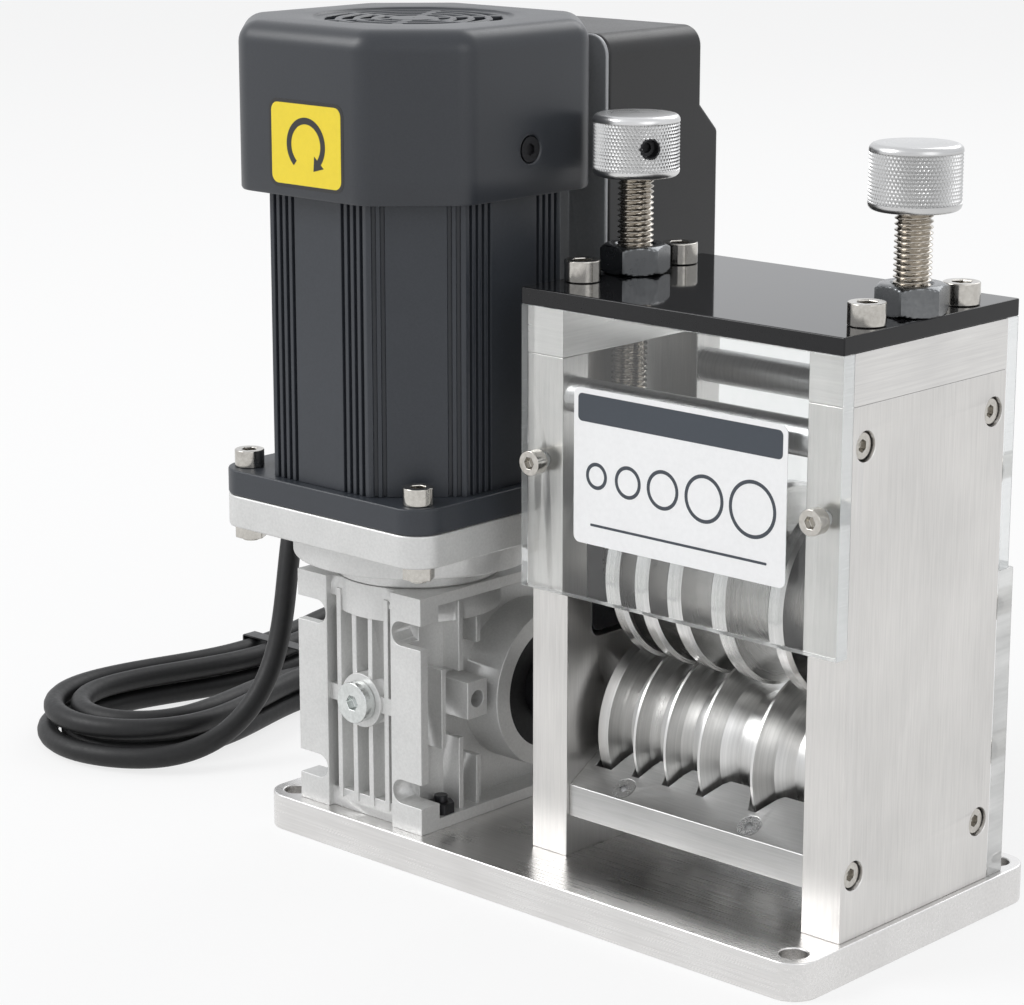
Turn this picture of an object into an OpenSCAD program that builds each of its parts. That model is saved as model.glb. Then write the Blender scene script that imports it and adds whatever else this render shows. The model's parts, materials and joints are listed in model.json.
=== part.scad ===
// Electric wire stripper: a grooved roller and cutter discs between two side plates,
// driven through a worm gearbox by a fan-cooled motor, all on one base plate.

/* [Base plate] */
// Length of the base plate, left to right
base_l = 201; // [192:1:230]
// Depth of the base plate, front to back
base_w = 106; // [104:1:130]
// Thickness of the base plate
base_t = 10.7; // [9:0.1:16]
// Corner radius of the base plate
base_r = 8; // [3:0.5:12]
// Diameter of the four bench mounting holes
bench_hole_d = 7.5; // [5:0.1:8.5]
// Distance of a bench hole from both edges
bench_hole_inset = 7.3; // [6:0.1:10]

/* [Stripping head] */
// Distance of the head from the right edge of the base
head_inset = 1.9; // [0.5:0.1:6]
// Thickness of a side plate
plate_t = 12.8; // [12.6:0.1:16]
// Depth of a side plate, front to back
plate_d = 66.6; // [64:0.1:80]
// Height of a side plate
plate_h = 142.2; // [138:0.1:160]
// Height of the cap block on a side plate
cap_h = 13.6; // [10:0.1:20]
// Thickness of the black top plate
top_t = 4.7; // [3:0.1:8]
// Thickness of the clear guards
guard_t = 4.8; // [3:0.1:8]
// Height of the front guard
front_guard_h = 78.6; // [60:0.1:90]
// Height of the clear wire inlet block
inlet_h = 87; // [76:0.5:92]
// Thickness of the clear wire inlet block
inlet_t = 7.2; // [5:0.1:7.3]
// Diameter of the tie rods
tie_d = 9.8; // [8:0.1:12]
// Gap between the tie rods and the clear guards
tie_gap = 0.4; // [0.3:0.1:1.2]
// Distance of the upper tie rods below the top of a side plate
tie_top_drop = 10.7; // [8:0.1:14]
// Height of the lower tie rod and the comb bar screws above the base plate
tie_low_h = 17.5; // [14:0.1:20]

/* [Rollers] */
// Ridge radius of the grooved roller
roller_r = 25; // [22:0.1:26]
// Width of the first wire groove, on the left
groove_1 = 10; // [8.5:0.1:11]
// Width of the second wire groove
groove_2 = 10.8; // [8.5:0.1:12]
// Width of the third wire groove
groove_3 = 12; // [9:0.1:13]
// Width of the fourth wire groove
groove_4 = 18.2; // [12:0.1:19]
// Width of the fifth wire groove, on the right
groove_5 = 20; // [12:0.1:20.5]
// Width of the roller's left flange
flange_left_w = 3.2; // [2:0.1:4]
// Width of the roller's right flange
flange_right_w = 1.6; // [1:0.1:3]
// Flat crest on each ridge
crest_w = 0.8; // [0.4:0.1:1.4]
// Gap from the left side plate to the roller
roller_gap = 4.4; // [3.6:0.1:5]
// Gap from the roller to the right side plate
roller_gap_right = 2.3; // [1.8:0.1:5]
// Radius of the cutter discs
disc_r = 28; // [26:0.1:29]
// Thickness of a cutter disc
disc_t = 5; // [3:0.1:5.4]
// Distance between the roller axis and the cutter axis at rest
axis_gap = 47.3; // [47:0.1:50]
// Diameter of the roller and cutter shafts
shaft_d = 15; // [12:0.1:16]
// Outer diameter of the shaft bearings
shaft_bearing_d = 32; // [28:0.1:33]
// Width of the shaft bearings
shaft_bearing_w = 9; // [7:0.1:9.4]

/* [Gap adjustment] */
// Width of the pocket that a bearing block slides in
pocket_w = 46; // [44:0.1:47]
// Depth of that pocket into the side plate
pocket_depth = 10.6; // [10.5:0.1:11]
// Height of a bearing block
block_h = 39; // [38:0.1:40]
// Room under a bearing block at rest
block_room = 1.5; // [1:0.1:2]
// Diameter of the adjusting screws
screw_d = 10; // [8:0.1:10]
// Diameter of the knurled knobs
knob_d = 24; // [20:0.1:26]
// Height of the knurled knobs
knob_h = 17; // [12:0.1:18]
// Free thread between lock nut and knob
knob_gap = 18.8; // [12:0.1:24]
// Height of a lock nut
nut_h = 8; // [6:0.1:10]
// Width of a lock nut across flats
nut_af = 17; // [16:0.1:19]

/* [Gearbox] */
// Gap between the gearbox and the left side plate
gear_gap = 27.9; // [24:0.1:32]
// Width of the gearbox, left to right
gear_w = 50; // [50:0.1:56]
// Height of the gearbox
gear_h = 70; // [68:0.1:76]
// Depth of the gearbox in front of the roller axis
gear_front = 49.5; // [49:0.1:52]
// Depth of the gearbox behind the roller axis
gear_back = 35; // [33:0.1:40]
// Pitch diameter of the worm
worm_pitch_d = 12.5; // [12.2:0.1:13]
// Tooth size of the worm drive
worm_module = 1.25; // [1.2:0.01:1.25]
// Teeth on the worm wheel
wheel_teeth = 30; // [29:1:30]
// Diameter of the bore through the output sleeve
sleeve_bore_d = 11; // [9:0.1:12]
// Outer diameter of the output sleeve
sleeve_d = 20; // [18:0.1:21]

/* [Motor] */
// Size of the square motor flanges
flange_s = 82; // [80:0.1:88]
// Corner radius of the motor flanges
flange_r = 9; // [5:0.5:12]
// Height of the round neck between gearbox and flange
neck_h = 13.7; // [12:0.1:16]
// Thickness of the silver adapter flange
adapter_t = 9.5; // [8:0.1:12]
// Thickness of the dark motor flange
flange_t = 7.5; // [6:0.1:9]
// Distance of a flange screw from the motor axis, along X and Y
flange_screw_o = 34; // [33:0.1:35]
// Width of the motor body across its flats
body_af = 76; // [75:0.1:78]
// Leg of the chamfers on the motor body
body_chamfer = 19; // [16:0.1:22]
// Height of the motor body
body_h = 81.6; // [78:0.1:90]
// Width of the fan cover across its flats
cover_af = 88.6; // [87:0.1:91]
// Leg of the chamfers on the fan cover
cover_chamfer = 20.5; // [18:0.1:24]
// Height of the fan cover
cover_h = 46.5; // [44:0.1:52]
// Wall of the fan cover
cover_wall = 2; // [1.6:0.1:3]

/* [Control box] */
// Width of the control box, left to right
box_w = 64; // [60:0.5:70]
// Depth of the control box, front to back
box_d = 41; // [38:0.5:46]
// Height of the control box
box_h = 118; // [110:0.5:124]
// Height of the control box above the motor flange
box_lift = 3.6; // [2:0.1:6]
// Wall of the control box
box_wall = 2; // [1.6:0.1:3]
// Corner radius of the control box
box_r = 6; // [3:0.5:8]
// Depth of the switch housing behind the box
switch_d = 8; // [7:0.5:12]
// Height of the switch housing
switch_h = 95; // [60:0.5:100]

/* [Cord] */
// Diameter of the cord
cord_d = 6.8; // [6:0.1:7]
// Length of the strain relief outside the box
relief_l = 30; // [22:1:32]

/* [Hidden] */
$fn = 48;
// Radial clearance where pieces of one body sit in each other
seat = 0.03;
// Radial clearance where a piece turns or slides in another
run = 0.06;
// Overshoot of a cut past the face it opens
cut = 1;

// Colours
aluminium = [0.78, 0.78, 0.77];
cast = [0.72, 0.72, 0.71];
steel = [0.62, 0.62, 0.63];
nickel = [0.7, 0.66, 0.6];
zinc = [0.55, 0.58, 0.62];
black = [0.07, 0.07, 0.075];
slate = [0.17, 0.19, 0.22];
clear = [0.85, 0.9, 0.92, 0.4];
copper = [0.72, 0.4, 0.2];
bronze = [0.7, 0.52, 0.28];

// Grooves of the roller, whose length sets the width of the head
groove_w = [groove_1, groove_2, groove_3, groove_4, groove_5];
function sum_to(i) = i == 0 ? 0 : groove_w[i - 1] + sum_to(i - 1);
crest_sum = [for (i = [0 : len(groove_w)]) sum_to(i)];
roller_l = flange_left_w + crest_sum[len(groove_w)] + flange_right_w;
head_w = 2 * plate_t + roller_gap + roller_l + roller_gap_right;

// Head frame
head_x1 = base_l / 2 - head_inset;
head_x0 = head_x1 - head_w;
inner_x0 = head_x0 + plate_t;
inner_x1 = head_x1 - plate_t;
plate_y = plate_d / 2;
plate_top = base_t + plate_h;
cap_top = plate_top + cap_h;
top_z = cap_top + top_t;
plate_mid = [head_x0 + plate_t / 2, head_x1 - plate_t / 2];
tie_y = plate_y - tie_gap - tie_d / 2;
tie_hi_z = plate_top - tie_top_drop;
tie_lo_z = base_t + tie_low_h;

// Axes
axis_z = base_t + gear_h / 2;
cutter_z = axis_z + axis_gap;
gear_x1 = head_x0 - gear_gap;
gear_x = gear_x1 - gear_w / 2;
gear_x0 = gear_x - gear_w / 2;
worm_y = -(worm_module * wheel_teeth + worm_pitch_d) / 2;

// Grooved roller profile
roller_x0 = inner_x0 + roller_gap;
groove_x0 = roller_x0 + flange_left_w;
roller_x1 = roller_x0 + roller_l;
cut_depth = roller_r + disc_r - axis_gap;
groove_side = 0.2;
groove_floor = disc_t + 2 * groove_side;
groove_room = 0.5;
groove_taper = 0.18;
function groove_mid(i) = groove_x0 + crest_sum[i] + groove_w[i] / 2;
function groove_depth(i) = cut_depth + block_room + groove_room + groove_taper * (groove_w[i] - groove_w[0]);
// A wall falls steeply at first and then runs in to the floor
wall_knee = [0.4, 0.62];

// Wire guide holes in the inlet block, level with the roller's upper edge
wire_drop = 3.7;
wire_z = axis_z + roller_r - wire_drop;
inlet_ratio = 0.62;
function inlet_hole_d(i) = inlet_ratio * groove_w[i];

// Comb bar, in section: front face, slope and tip
comb_inset = 1.3;
comb_y = plate_y - comb_inset;
comb_down = 5.7;
comb_up = 3.3;
comb_z0 = tie_lo_z - comb_down;
comb_z1 = tie_lo_z + comb_up;
comb_tip_y = 18;
comb_tip_drop = 5.7;
comb_tip_z = axis_z - comb_tip_drop;
comb_back = 15;
comb_gap = 1.3;
comb_slope = atan2(comb_tip_z - comb_z1, comb_y - comb_tip_y);
comb_screw_left = 17;
comb_screw_right = 21.5;
comb_screw_x = [inner_x0 + comb_screw_left, inner_x1 - comb_screw_right];
comb_screw_inset = 3.4;
comb_screw_y = comb_screw_inset - comb_y;
comb_screw_l = 7;
comb_head_d = 7;
comb_head_h = 1.8;
function comb_face_z(y) = comb_z1 + (y + comb_y) * tan(comb_slope);

// Screws of the head: places and depths of engagement
head_room = 0.5;
head_sink = 0.4;
hole_over = 1;
cap_head_room = 0.3;
cap_head_sink = 0.2;
shaft_room = 2.5;
screw_room = 0.4;
frame_screw_y = 20;
frame_screw_in = 12;
cap_screw_in = 5;
top_screw_y = 20.5;
top_screw_in = 11;
tie_sink = 5;
guard_screw_in = 8;
guard_screw_drop = 28.9;
guard_screw_z = [plate_top - guard_screw_drop];
inlet_screw_low = 34;
inlet_screw_high = 75;
inlet_screw_z = [base_t + inlet_screw_low, base_t + inlet_screw_high];

// Cutter and roller shafts
spacer_r = 16;
disc_bevel = 1;
shaft_step = 2.6;
shaft_step_x = head_x0 - shaft_step;
key_l = 20;
key_w = 4;
key_in = 2;
key_out = 1.8;

// Sliding bearing blocks
block_z0 = cutter_z - block_h / 2;
block_z1 = cutter_z + block_h / 2;
pocket_z = block_z0 - block_room;
block_play = 0.3;
block_side_play = 0.4;
block_t = pocket_depth - block_side_play;
pocket_r = 3.5;
screw_x = [inner_x0 - pocket_depth / 2, inner_x1 + pocket_depth / 2];
screw_tip_d = 7;
screw_tip_l = 2.6;
nut_top = top_z + nut_h;
knob_z0 = nut_top + knob_gap;
knob_z1 = knob_z0 + knob_h;
knob_cap = 4;
knob_edge = 2;
knob_hole_d = 4.7;
knob_hole_turn = [60, 200];
nut_turn = 20;

// Threads: head and shank sizes by nominal diameter [shank, head, head height, socket]
m3 = [3, 5.5, 3, 2.5];
m4 = [4, 7, 4, 3];
m5 = [5, 8.5, 5, 4];
m6 = [6, 10, 6, 5];
m4_long = 12;

// Worm gearbox
gear_top = base_t + gear_h;
pitch = PI * worm_module;
wheel_r = worm_module * wheel_teeth / 2;
worm_r = worm_pitch_d / 2;
tooth_up = 0.72 * worm_module;
tooth_down = 1.04 * worm_module;
wheel_w = 13;
wheel_room = 2.5;
gear_bearing_d = 37;
gear_bearing_w = 9;
seal_w = 5;
tooth_room = 1.8;
cavity_r = wheel_r + tooth_up + tooth_room;
cavity_half = wheel_w / 2 + wheel_room;
hub_r = 24;
hub_out = 5.5;
hub_x1 = gear_x1 + hub_out;
seal_in = 2;
sleeve_out = 1;
plug_hole_r = 22;
cover_flange_r = 28;
cover_flange_t = 4;
worm_half = 13;
worm_bore_r = 11.2;
worm_low_bearing = [10, 22, 6];
worm_top_bearing = [15, 28, 7];
worm_low_gap = 10;
worm_low_z = axis_z - worm_half - worm_low_gap;
spigot_h = 3.7;
worm_shelf_z = gear_top - spigot_h - worm_top_bearing[2];
worm_hub_gap = 5.3;
worm_hub_z = axis_z + worm_half + worm_hub_gap;
input_d = 9;
cover_screw_r = 24.4;
post_w = 12;
post_depth = 7.5;
post_plate = 3;
post_lug_h = 8;
post_slot_h = 11.5;
post_slot_w = 7;
post_slot_d = 8;
post_slot_z = [base_t + post_slot_h, gear_top - post_slot_h];
core_side = 8;
core_in = 3.4;
core_front = 7;
lip_front = 2;
lip_back = 1;
rib_in = 1.5;
oil_boss_in = 0.8;
lip_h = 6;
rib_count = 4;
rib_pitch = 6.4;
rib_w = 1.8;
rib_bar_h = 5;
side_rib_in = 1.5;
mid_rib = [-38.6, 11.8];
// Side ribs: place from front to back, and the room that they leave around the hub
side_ribs = [[-31.5, 10], [-24.3, 17], [16.5, 17]];
lug_y = 30;
lug_z = axis_z + 2.3;
lug_w = 8;
lug_h = 11;
lug_out = 3.5;
lug_hole_in = 10;
oil_boss_r = 8;
oil_plug_d = 8;
oil_plug_in = 8;
oil_head_d = 12;
oil_head_h = 3;
stud_d = 4;
stud_in = 4;
stud_nut_af = 7;
stud_nut_h = 3.2;
post_back = 7.5;
stud_back = 12;
stud_places = [for (s = [-1, 1], y = [stud_back - gear_front, gear_back - stud_back])
    [gear_x + s * (gear_w / 2 - stud_in), y]];

// Motor
neck_r = 24;
neck_in = 10;
neck_low_h = 5.8;
disc_neck_r = 36;
flange_nut_h = 4;
flange_nut_af = 8;
flange_z = gear_top + neck_h + adapter_t;
body_z = flange_z + flange_t;
cover_z = body_z + body_h;
motor_top = cover_z + cover_h;
stator_r = 35;
rotor_r = 22;
air_gap = 0.5;
core_lift = 17;
core_z0 = body_z + core_lift;
core_h = 45;
motor_shaft_d = 12;
motor_bearing = [12, 32, 10];
bearing_wall = 4;
motor_low_bearing_z = body_z;
motor_top_bearing_z = cover_z - motor_bearing[2];
winding_h = 8;
winding_r0 = 24;
winding_r1 = 32;
fin_count = 4;
fin_start = 2;
fin_pitch = 2.4;
fin_depth = 1.2;
fin_w = 1.2;
shield_t = 8;
shield_play = 0.1;
cover_edge_r = 6;
cover_lug_over = 5;
cover_lug_w = 8;
cover_screw_h = 13;
cover_screw_l = 5.8;
vent_bridge = 3;
fan_r = 35;
fan_hub_r = 11;
fan_blades = 9;
fan_gap = 4;
fan_room = 1;
fan_z0 = cover_z + shield_t + fan_gap;
fan_h = 20;
vent_rings = [[7, 10], [12, 15], [17, 20], [22, 25]];

// Control box
box_z0 = body_z + box_lift;
box_z1 = box_z0 + box_h;
box_x0 = gear_x - box_w / 2;
box_x1 = gear_x + box_w / 2;
motor_back = worm_y + body_af / 2;
tray_gap = 0.4;
tray_y0 = worm_y + cover_af / 2 + tray_gap;
tray_t = 3;
tray_rim = 1.4;
box_y0 = tray_y0 + tray_rim;
box_y1 = box_y0 + box_d;
switch_z0 = box_z0;
switch_z1 = switch_z0 + switch_h;
switch_y1 = box_y1 + switch_d;
switch_slope = 8;
rocker_w = 13;
rocker_h = 22;
rocker_lift = 45;
rocker_z = box_z0 + rocker_lift;
rocker_swing = 8;
rocker_rise = 3.5;
rocker_pin_d = 2.5;
bezel_frame = 3;
bezel_neck = 2;
bezel_t = 2;
bezel_depth = 10;
tray_foot_w = 36;
tray_screw_off = 7;
tray_screw_x = gear_x - tray_screw_off;
tray_screw_low = 14;
tray_screw_high = 64;
tray_screw_z = [box_z0 + tray_screw_low, box_z0 + tray_screw_high];
tray_screw_in = m4_long - (tray_y0 + tray_t - motor_back);
capacitor_d = 30;
capacitor_h = 60;

// Cord: route points chosen by hand, in the frame of the whole machine
relief_y = 42;
relief_z = 135;
relief_d0 = 13;
relief_d1 = 9;
relief_flange_d = 17;
relief_x1 = box_x0 - relief_l;
tie_w = 5;
tie_t = 0.5;
tie_room = 0.4;
hank_lift = 0.1;
hank_z = cord_d / 2 + tie_t + hank_lift;
hank_layer_gap = 0.7;
hank_layer = cord_d + hank_layer_gap;
hank_x = -189;
hank_near = -22;
hank_far = 110;
hank_out_r = 35.8;
hank_hole_r = 16.4;
hank_draw = 12;
hank_runs = 10;
hank_lead_r = 34.5;
hank_tail_r = 31.4;
tail_drop = 1;
hank_groove_gap = 0.3;
cord_sides = 8;
tail_l = 26;
route = [
    [relief_x1, relief_y, relief_z], [relief_x1 - cord_d, relief_y, relief_z],
    [-142, 40, 131], [-151, 35, 121], [-156, 27, 107], [-156, 19, 92], [-154, 12, 77],
    [-151, 6, 62], [-148, 1, 47], [-146, -4, 33], [-146, -12, 20], [-147, -23, 11],
    [-151, -35, 6], [-159, -46, 4.4], [-171, -53, 4.3],
    [hank_x + cord_d, hank_near - hank_lead_r, hank_z], [hank_x, hank_near - hank_lead_r, hank_z]
];
plug_l = 38;
plug_w = 28;
plug_collar = 10;
blade_gap = 12.7;
blade_t = 1.5;
blade_w = 6.3;
blade_l = 17;

// Where the cord leaves the hank for the plug
tail = [hank_x - hank_tail_r, hank_far + tail_l, hank_z + hank_layer - tail_drop];

// Helpers: a block between two corners and cylinders along each axis
module block(lo, hi) {
    translate(lo) cube(hi - lo);
}

module x_rod(r, x0, x1, y, z) {
    translate([x0, y, z]) rotate([0, 90, 0]) cylinder(r = r, h = x1 - x0);
}

module y_rod(r, y0, y1, x, z) {
    translate([x, y1, z]) rotate([90, 0, 0]) cylinder(r = r, h = y1 - y0);
}

module z_rod(r, z0, z1, x, y) {
    translate([x, y, z0]) cylinder(r = r, h = z1 - z0);
}

module x_ring(ro, ri, x0, x1, y, z) {
    difference() {
        x_rod(ro, x0, x1, y, z);
        x_rod(ri, x0 - cut, x1 + cut, y, z);
    }
}

module z_ring(ro, ri, z0, z1, x, y) {
    difference() {
        z_rod(ro, z0, z1, x, y);
        z_rod(ri, z0 - cut, z1 + cut, x, y);
    }
}

module rounded_rect(l, w, r) {
    square([l - 2 * r, w], center = true);
    square([l, w - 2 * r], center = true);
    for (sx = [-1, 1], sy = [-1, 1])
        translate([sx * (l / 2 - r), sy * (w / 2 - r)]) circle(r = r);
}

function octagon_points(af, leg) =
    let (h = af / 2, c = h - leg)
    [[h, -c], [h, c], [c, h], [-c, h], [-h, c], [-h, -c], [-c, -h], [c, -h]];

module octagon(af, leg) {
    polygon(octagon_points(af, leg));
}

// Closed skin over rings of equal point counts, which run clockwise seen from the last one
module loft(rings) {
    n = len(rings[0]);
    last = (len(rings) - 1) * n;
    skin = [for (i = [0 : len(rings) - 2], k = [0 : n - 1])
        let (a = i * n + k, b = i * n + (k + 1) % n)
        each [[a, b, b + n], [a, b + n, a + n]]];
    ends = [for (k = [1 : n - 2]) each [[0, k + 1, k], [last, last + k, last + k + 1]]];
    polyhedron([for (r = rings, q = r) q], concat(skin, ends));
}

// Socket head screw standing on z = 0 with its shank below
module socket_screw(m, l) {
    difference() {
        cylinder(d = m[1], h = m[2]);
        translate([0, 0, m[2] / 2]) cylinder(d = m[3] * 2 / sqrt(3), h = m[2], $fn = 6);
    }
    translate([0, 0, -l]) cylinder(d = m[0], h = l);
}

// Hexagon nut standing on z = 0
module hex_nut(af, d, h) {
    difference() {
        cylinder(d = af * 2 / sqrt(3), h = h, $fn = 6);
        translate([0, 0, -cut]) cylinder(d = d, h = h + 2 * cut);
    }
}

// Puts a part of the model upright on an outer face of the head, pointing out of it
module from_left(x, y, z) {
    translate([x, y, z]) rotate([0, -90, 0]) children();
}

module from_right(x, y, z) {
    translate([x, y, z]) rotate([0, 90, 0]) children();
}

module from_front(x, y, z) {
    translate([x, y, z]) rotate([90, 0, 0]) children();
}

module from_back(x, y, z) {
    translate([x, y, z]) rotate([-90, 0, 0]) children();
}

// Base plate with bench holes, screw seats under the side plates and stud holes
module base_plate() {
    color(aluminium) difference() {
        linear_extrude(base_t) rounded_rect(base_l, base_w, base_r);
        for (sx = [-1, 1], sy = [-1, 1])
            z_rod(bench_hole_d / 2, -cut, base_t + cut,
                sx * (base_l / 2 - bench_hole_inset), sy * (base_w / 2 - bench_hole_inset));
        for (x = plate_mid, s = [-1, 1]) {
            z_rod(m6[0] / 2 + seat, -cut, base_t + cut, x, s * frame_screw_y);
            z_rod(m6[1] / 2 + head_room, -cut, m6[2] + head_sink, x, s * frame_screw_y);
        }
        for (p = stud_places)
            z_rod(stud_d / 2 + seat, -cut, base_t + cut, p[0], p[1]);
    }
}

// Side plate as seen from its inner face: pocket for the sliding block, seat for the lower bearing
module side_plate(x0, inner, s) {
    pocket_lo = s > 0 ? inner - cut : inner - pocket_depth;
    pocket_hi = s > 0 ? inner + pocket_depth : inner + cut;
    seat_lo = s > 0 ? inner - cut : inner - shaft_bearing_w;
    seat_hi = s > 0 ? inner + shaft_bearing_w : inner + cut;
    outer = s > 0 ? x0 + plate_t : x0;
    mid = x0 + plate_t / 2;
    difference() {
        block([x0, -plate_y, base_t], [x0 + plate_t, plate_y, plate_top]);
        block([pocket_lo, -pocket_w / 2, pocket_z + pocket_r], [pocket_hi, pocket_w / 2, plate_top + cut]);
        block([pocket_lo, pocket_r - pocket_w / 2, pocket_z],
            [pocket_hi, pocket_w / 2 - pocket_r, plate_top]);
        for (t = [-1, 1])
            x_rod(pocket_r, pocket_lo, pocket_hi, t * (pocket_w / 2 - pocket_r), pocket_z + pocket_r);
        x_rod(shaft_bearing_d / 2 + seat, seat_lo, seat_hi, 0, axis_z);
        for (t = [-1, 1], z = [tie_lo_z, tie_hi_z]) {
            x_rod(m4[0] / 2 + seat, x0 - cut, x0 + plate_t + cut, t * tie_y, z);
            x_rod(m4[1] / 2 + head_room, outer - (s > 0 ? tie_sink : cut), outer + (s > 0 ? cut : tie_sink),
                t * tie_y, z);
        }
        for (t = [-1, 1]) {
            z_rod(m6[0] / 2 + seat, base_t - cut, base_t + frame_screw_in + hole_over,
                mid, t * frame_screw_y);
            z_rod(m4[0] / 2 + seat, plate_top - cap_screw_in - hole_over, plate_top + cut, mid, t * tie_y);
            for (z = guard_screw_z)
                y_rod(m4[0] / 2 + seat, t > 0 ? plate_y - guard_screw_in - hole_over : -plate_y - cut,
                    t > 0 ? plate_y + cut : guard_screw_in + hole_over - plate_y, mid, z);
        }
        for (z = inlet_screw_z)
            y_rod(m4[0] / 2 + seat, plate_y - guard_screw_in - hole_over, plate_y + cut, mid, z);
    }
}

module left_side_plate() {
    color(aluminium) difference() {
        side_plate(head_x0, inner_x0, -1);
        x_rod(shaft_d / 2 + shaft_room, head_x0 - cut, inner_x0, 0, axis_z);
    }
}

module right_side_plate() {
    color(aluminium) side_plate(inner_x1, inner_x1, 1);
}

// Cap blocks: threaded guide of the adjusting screws, closing the pockets
module cap_blocks() {
    color(aluminium) for (i = [0, 1]) difference() {
        block([plate_mid[i] - plate_t / 2, -plate_y, plate_top],
            [plate_mid[i] + plate_t / 2, plate_y, cap_top]);
        z_rod(screw_d / 2 + run, plate_top - cut, cap_top + cut, screw_x[i], 0);
        for (t = [-1, 1]) {
            z_rod(m6[0] / 2 + seat, cap_top - top_screw_in - hole_over, cap_top + cut,
                plate_mid[i], t * top_screw_y);
            z_rod(m4[0] / 2 + seat, plate_top - cut, cap_top + cut, plate_mid[i], t * tie_y);
            z_rod(m4[1] / 2 + cap_head_room, cap_top - m4[2] - cap_head_sink, cap_top + cut,
                plate_mid[i], t * tie_y);
        }
    }
}

// Hidden screws of the frame: from below into the side plates, from above through the cap blocks
module frame_screws() {
    color(zinc) for (x = plate_mid, t = [-1, 1]) {
        translate([x, t * frame_screw_y, m6[2] + head_sink]) rotate([180, 0, 0])
            socket_screw(m6, base_t - m6[2] - head_sink + frame_screw_in);
        translate([x, t * tie_y, cap_top - m4[2] - cap_head_sink])
            socket_screw(m4, cap_h - m4[2] - cap_head_sink + cap_screw_in);
    }
}

module top_plate() {
    color(black) difference() {
        block([head_x0, -plate_y - guard_t, cap_top], [head_x1, plate_y + guard_t, top_z]);
        for (i = [0, 1]) {
            z_rod(screw_d / 2 + screw_room, cap_top - cut, top_z + cut, screw_x[i], 0);
            for (t = [-1, 1])
                z_rod(m6[0] / 2 + seat, cap_top - cut, top_z + cut, plate_mid[i], t * top_screw_y);
        }
    }
}

module top_plate_screws() {
    color(nickel) for (x = plate_mid, t = [-1, 1])
        translate([x, t * top_screw_y, top_z]) socket_screw(m6, top_t + top_screw_in);
}

module front_guard() {
    color(clear) difference() {
        block([head_x0, -plate_y - guard_t, cap_top - front_guard_h], [head_x1, -plate_y, cap_top]);
        for (x = plate_mid, z = guard_screw_z)
            y_rod(m4[0] / 2 + seat, -plate_y - guard_t - cut, cut - plate_y, x, z);
    }
}

module rear_guard() {
    color(clear) difference() {
        block([head_x0, plate_y, base_t + inlet_h], [head_x1, plate_y + guard_t, cap_top]);
        for (x = plate_mid, z = guard_screw_z)
            y_rod(m4[0] / 2 + seat, plate_y - cut, plate_y + guard_t + cut, x, z);
    }
}

// Clear block at the back with one guide hole in line with each groove
module inlet_block() {
    color(clear) difference() {
        block([head_x0, plate_y, base_t], [head_x1, plate_y + inlet_t, base_t + inlet_h]);
        for (i = [0 : len(groove_w) - 1])
            y_rod(inlet_hole_d(i) / 2, plate_y - cut, plate_y + inlet_t + cut, groove_mid(i), wire_z);
        for (x = plate_mid, z = inlet_screw_z)
            y_rod(m4[0] / 2 + seat, plate_y - cut, plate_y + inlet_t + cut, x, z);
    }
}

module guard_screws() {
    color(nickel) for (x = plate_mid) {
        for (z = guard_screw_z) {
            from_front(x, -plate_y - guard_t, z) socket_screw(m4, guard_t + guard_screw_in);
            from_back(x, plate_y + guard_t, z) socket_screw(m4, guard_t + guard_screw_in);
        }
        for (z = inlet_screw_z)
            from_back(x, plate_y + inlet_t, z) socket_screw(m4, inlet_t + guard_screw_in);
    }
}

// Half section of the roller, radius over length, grown by a clearance
function groove_points(i, grow) =
    let (a = crest_sum[i] + crest_w / 2 + flange_left_w,
        b = crest_sum[i] + groove_w[i] - crest_w / 2 + flange_left_w,
        m = (a + b) / 2, r = roller_r + grow, d = groove_depth(i), w = m - a - groove_floor / 2)
    [[r, a + grow * 0.6], [r - d * wall_knee[1], a + w * wall_knee[0] + grow],
     [r - d, m - groove_floor / 2 + grow], [r - d, m + groove_floor / 2 - grow],
     [r - d * wall_knee[1], b - w * wall_knee[0] - grow], [r, b - grow * 0.6]];

function roller_section(inner, grow) = concat(
    [[inner, -grow], [roller_r + grow, -grow]],
    [for (i = [0 : len(groove_w) - 1], p = groove_points(i, grow)) p],
    [[roller_r + grow, roller_l + grow], [inner, roller_l + grow]]);

module roller_solid(inner, grow) {
    translate([roller_x0, 0, axis_z]) rotate([0, 90, 0])
        rotate_extrude() polygon(roller_section(inner, grow));
}

module lower_roller() {
    color(steel) roller_solid(shaft_d / 2 + seat, 0);
}

// Comb bar: its back is cut to the roller's outline, so that its teeth reach into the grooves
module comb_bar() {
    color(aluminium) difference() {
        translate([inner_x0, 0, 0]) rotate([90, 0, 90]) linear_extrude(inner_x1 - inner_x0)
            polygon([[-comb_y, comb_z0], [-comb_y, comb_z1], [-comb_tip_y, comb_tip_z],
                [-comb_tip_y, comb_z1 - 2], [comb_back - comb_y, comb_z0]]);
        roller_solid(1, comb_gap);
        x_rod(shaft_d / 2 + 5, inner_x0 - cut, inner_x1 + cut, 0, axis_z);
        for (x = [inner_x0, inner_x1 - guard_screw_in])
            x_rod(m4[0] / 2 + seat, x - cut, x + guard_screw_in + cut, -tie_y, tie_lo_z);
        for (x = comb_screw_x)
            translate([x, comb_screw_y, comb_face_z(comb_screw_y)]) rotate([comb_slope, 0, 0]) {
                translate([0, 0, -comb_screw_l - 1]) cylinder(d = m4[0] + 2 * seat, h = comb_screw_l + 2);
                translate([0, 0, -comb_head_h]) cylinder(d1 = m4[0], d2 = comb_head_d, h = comb_head_h);
                cylinder(d = comb_head_d, h = cut);
            }
    }
}

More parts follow.
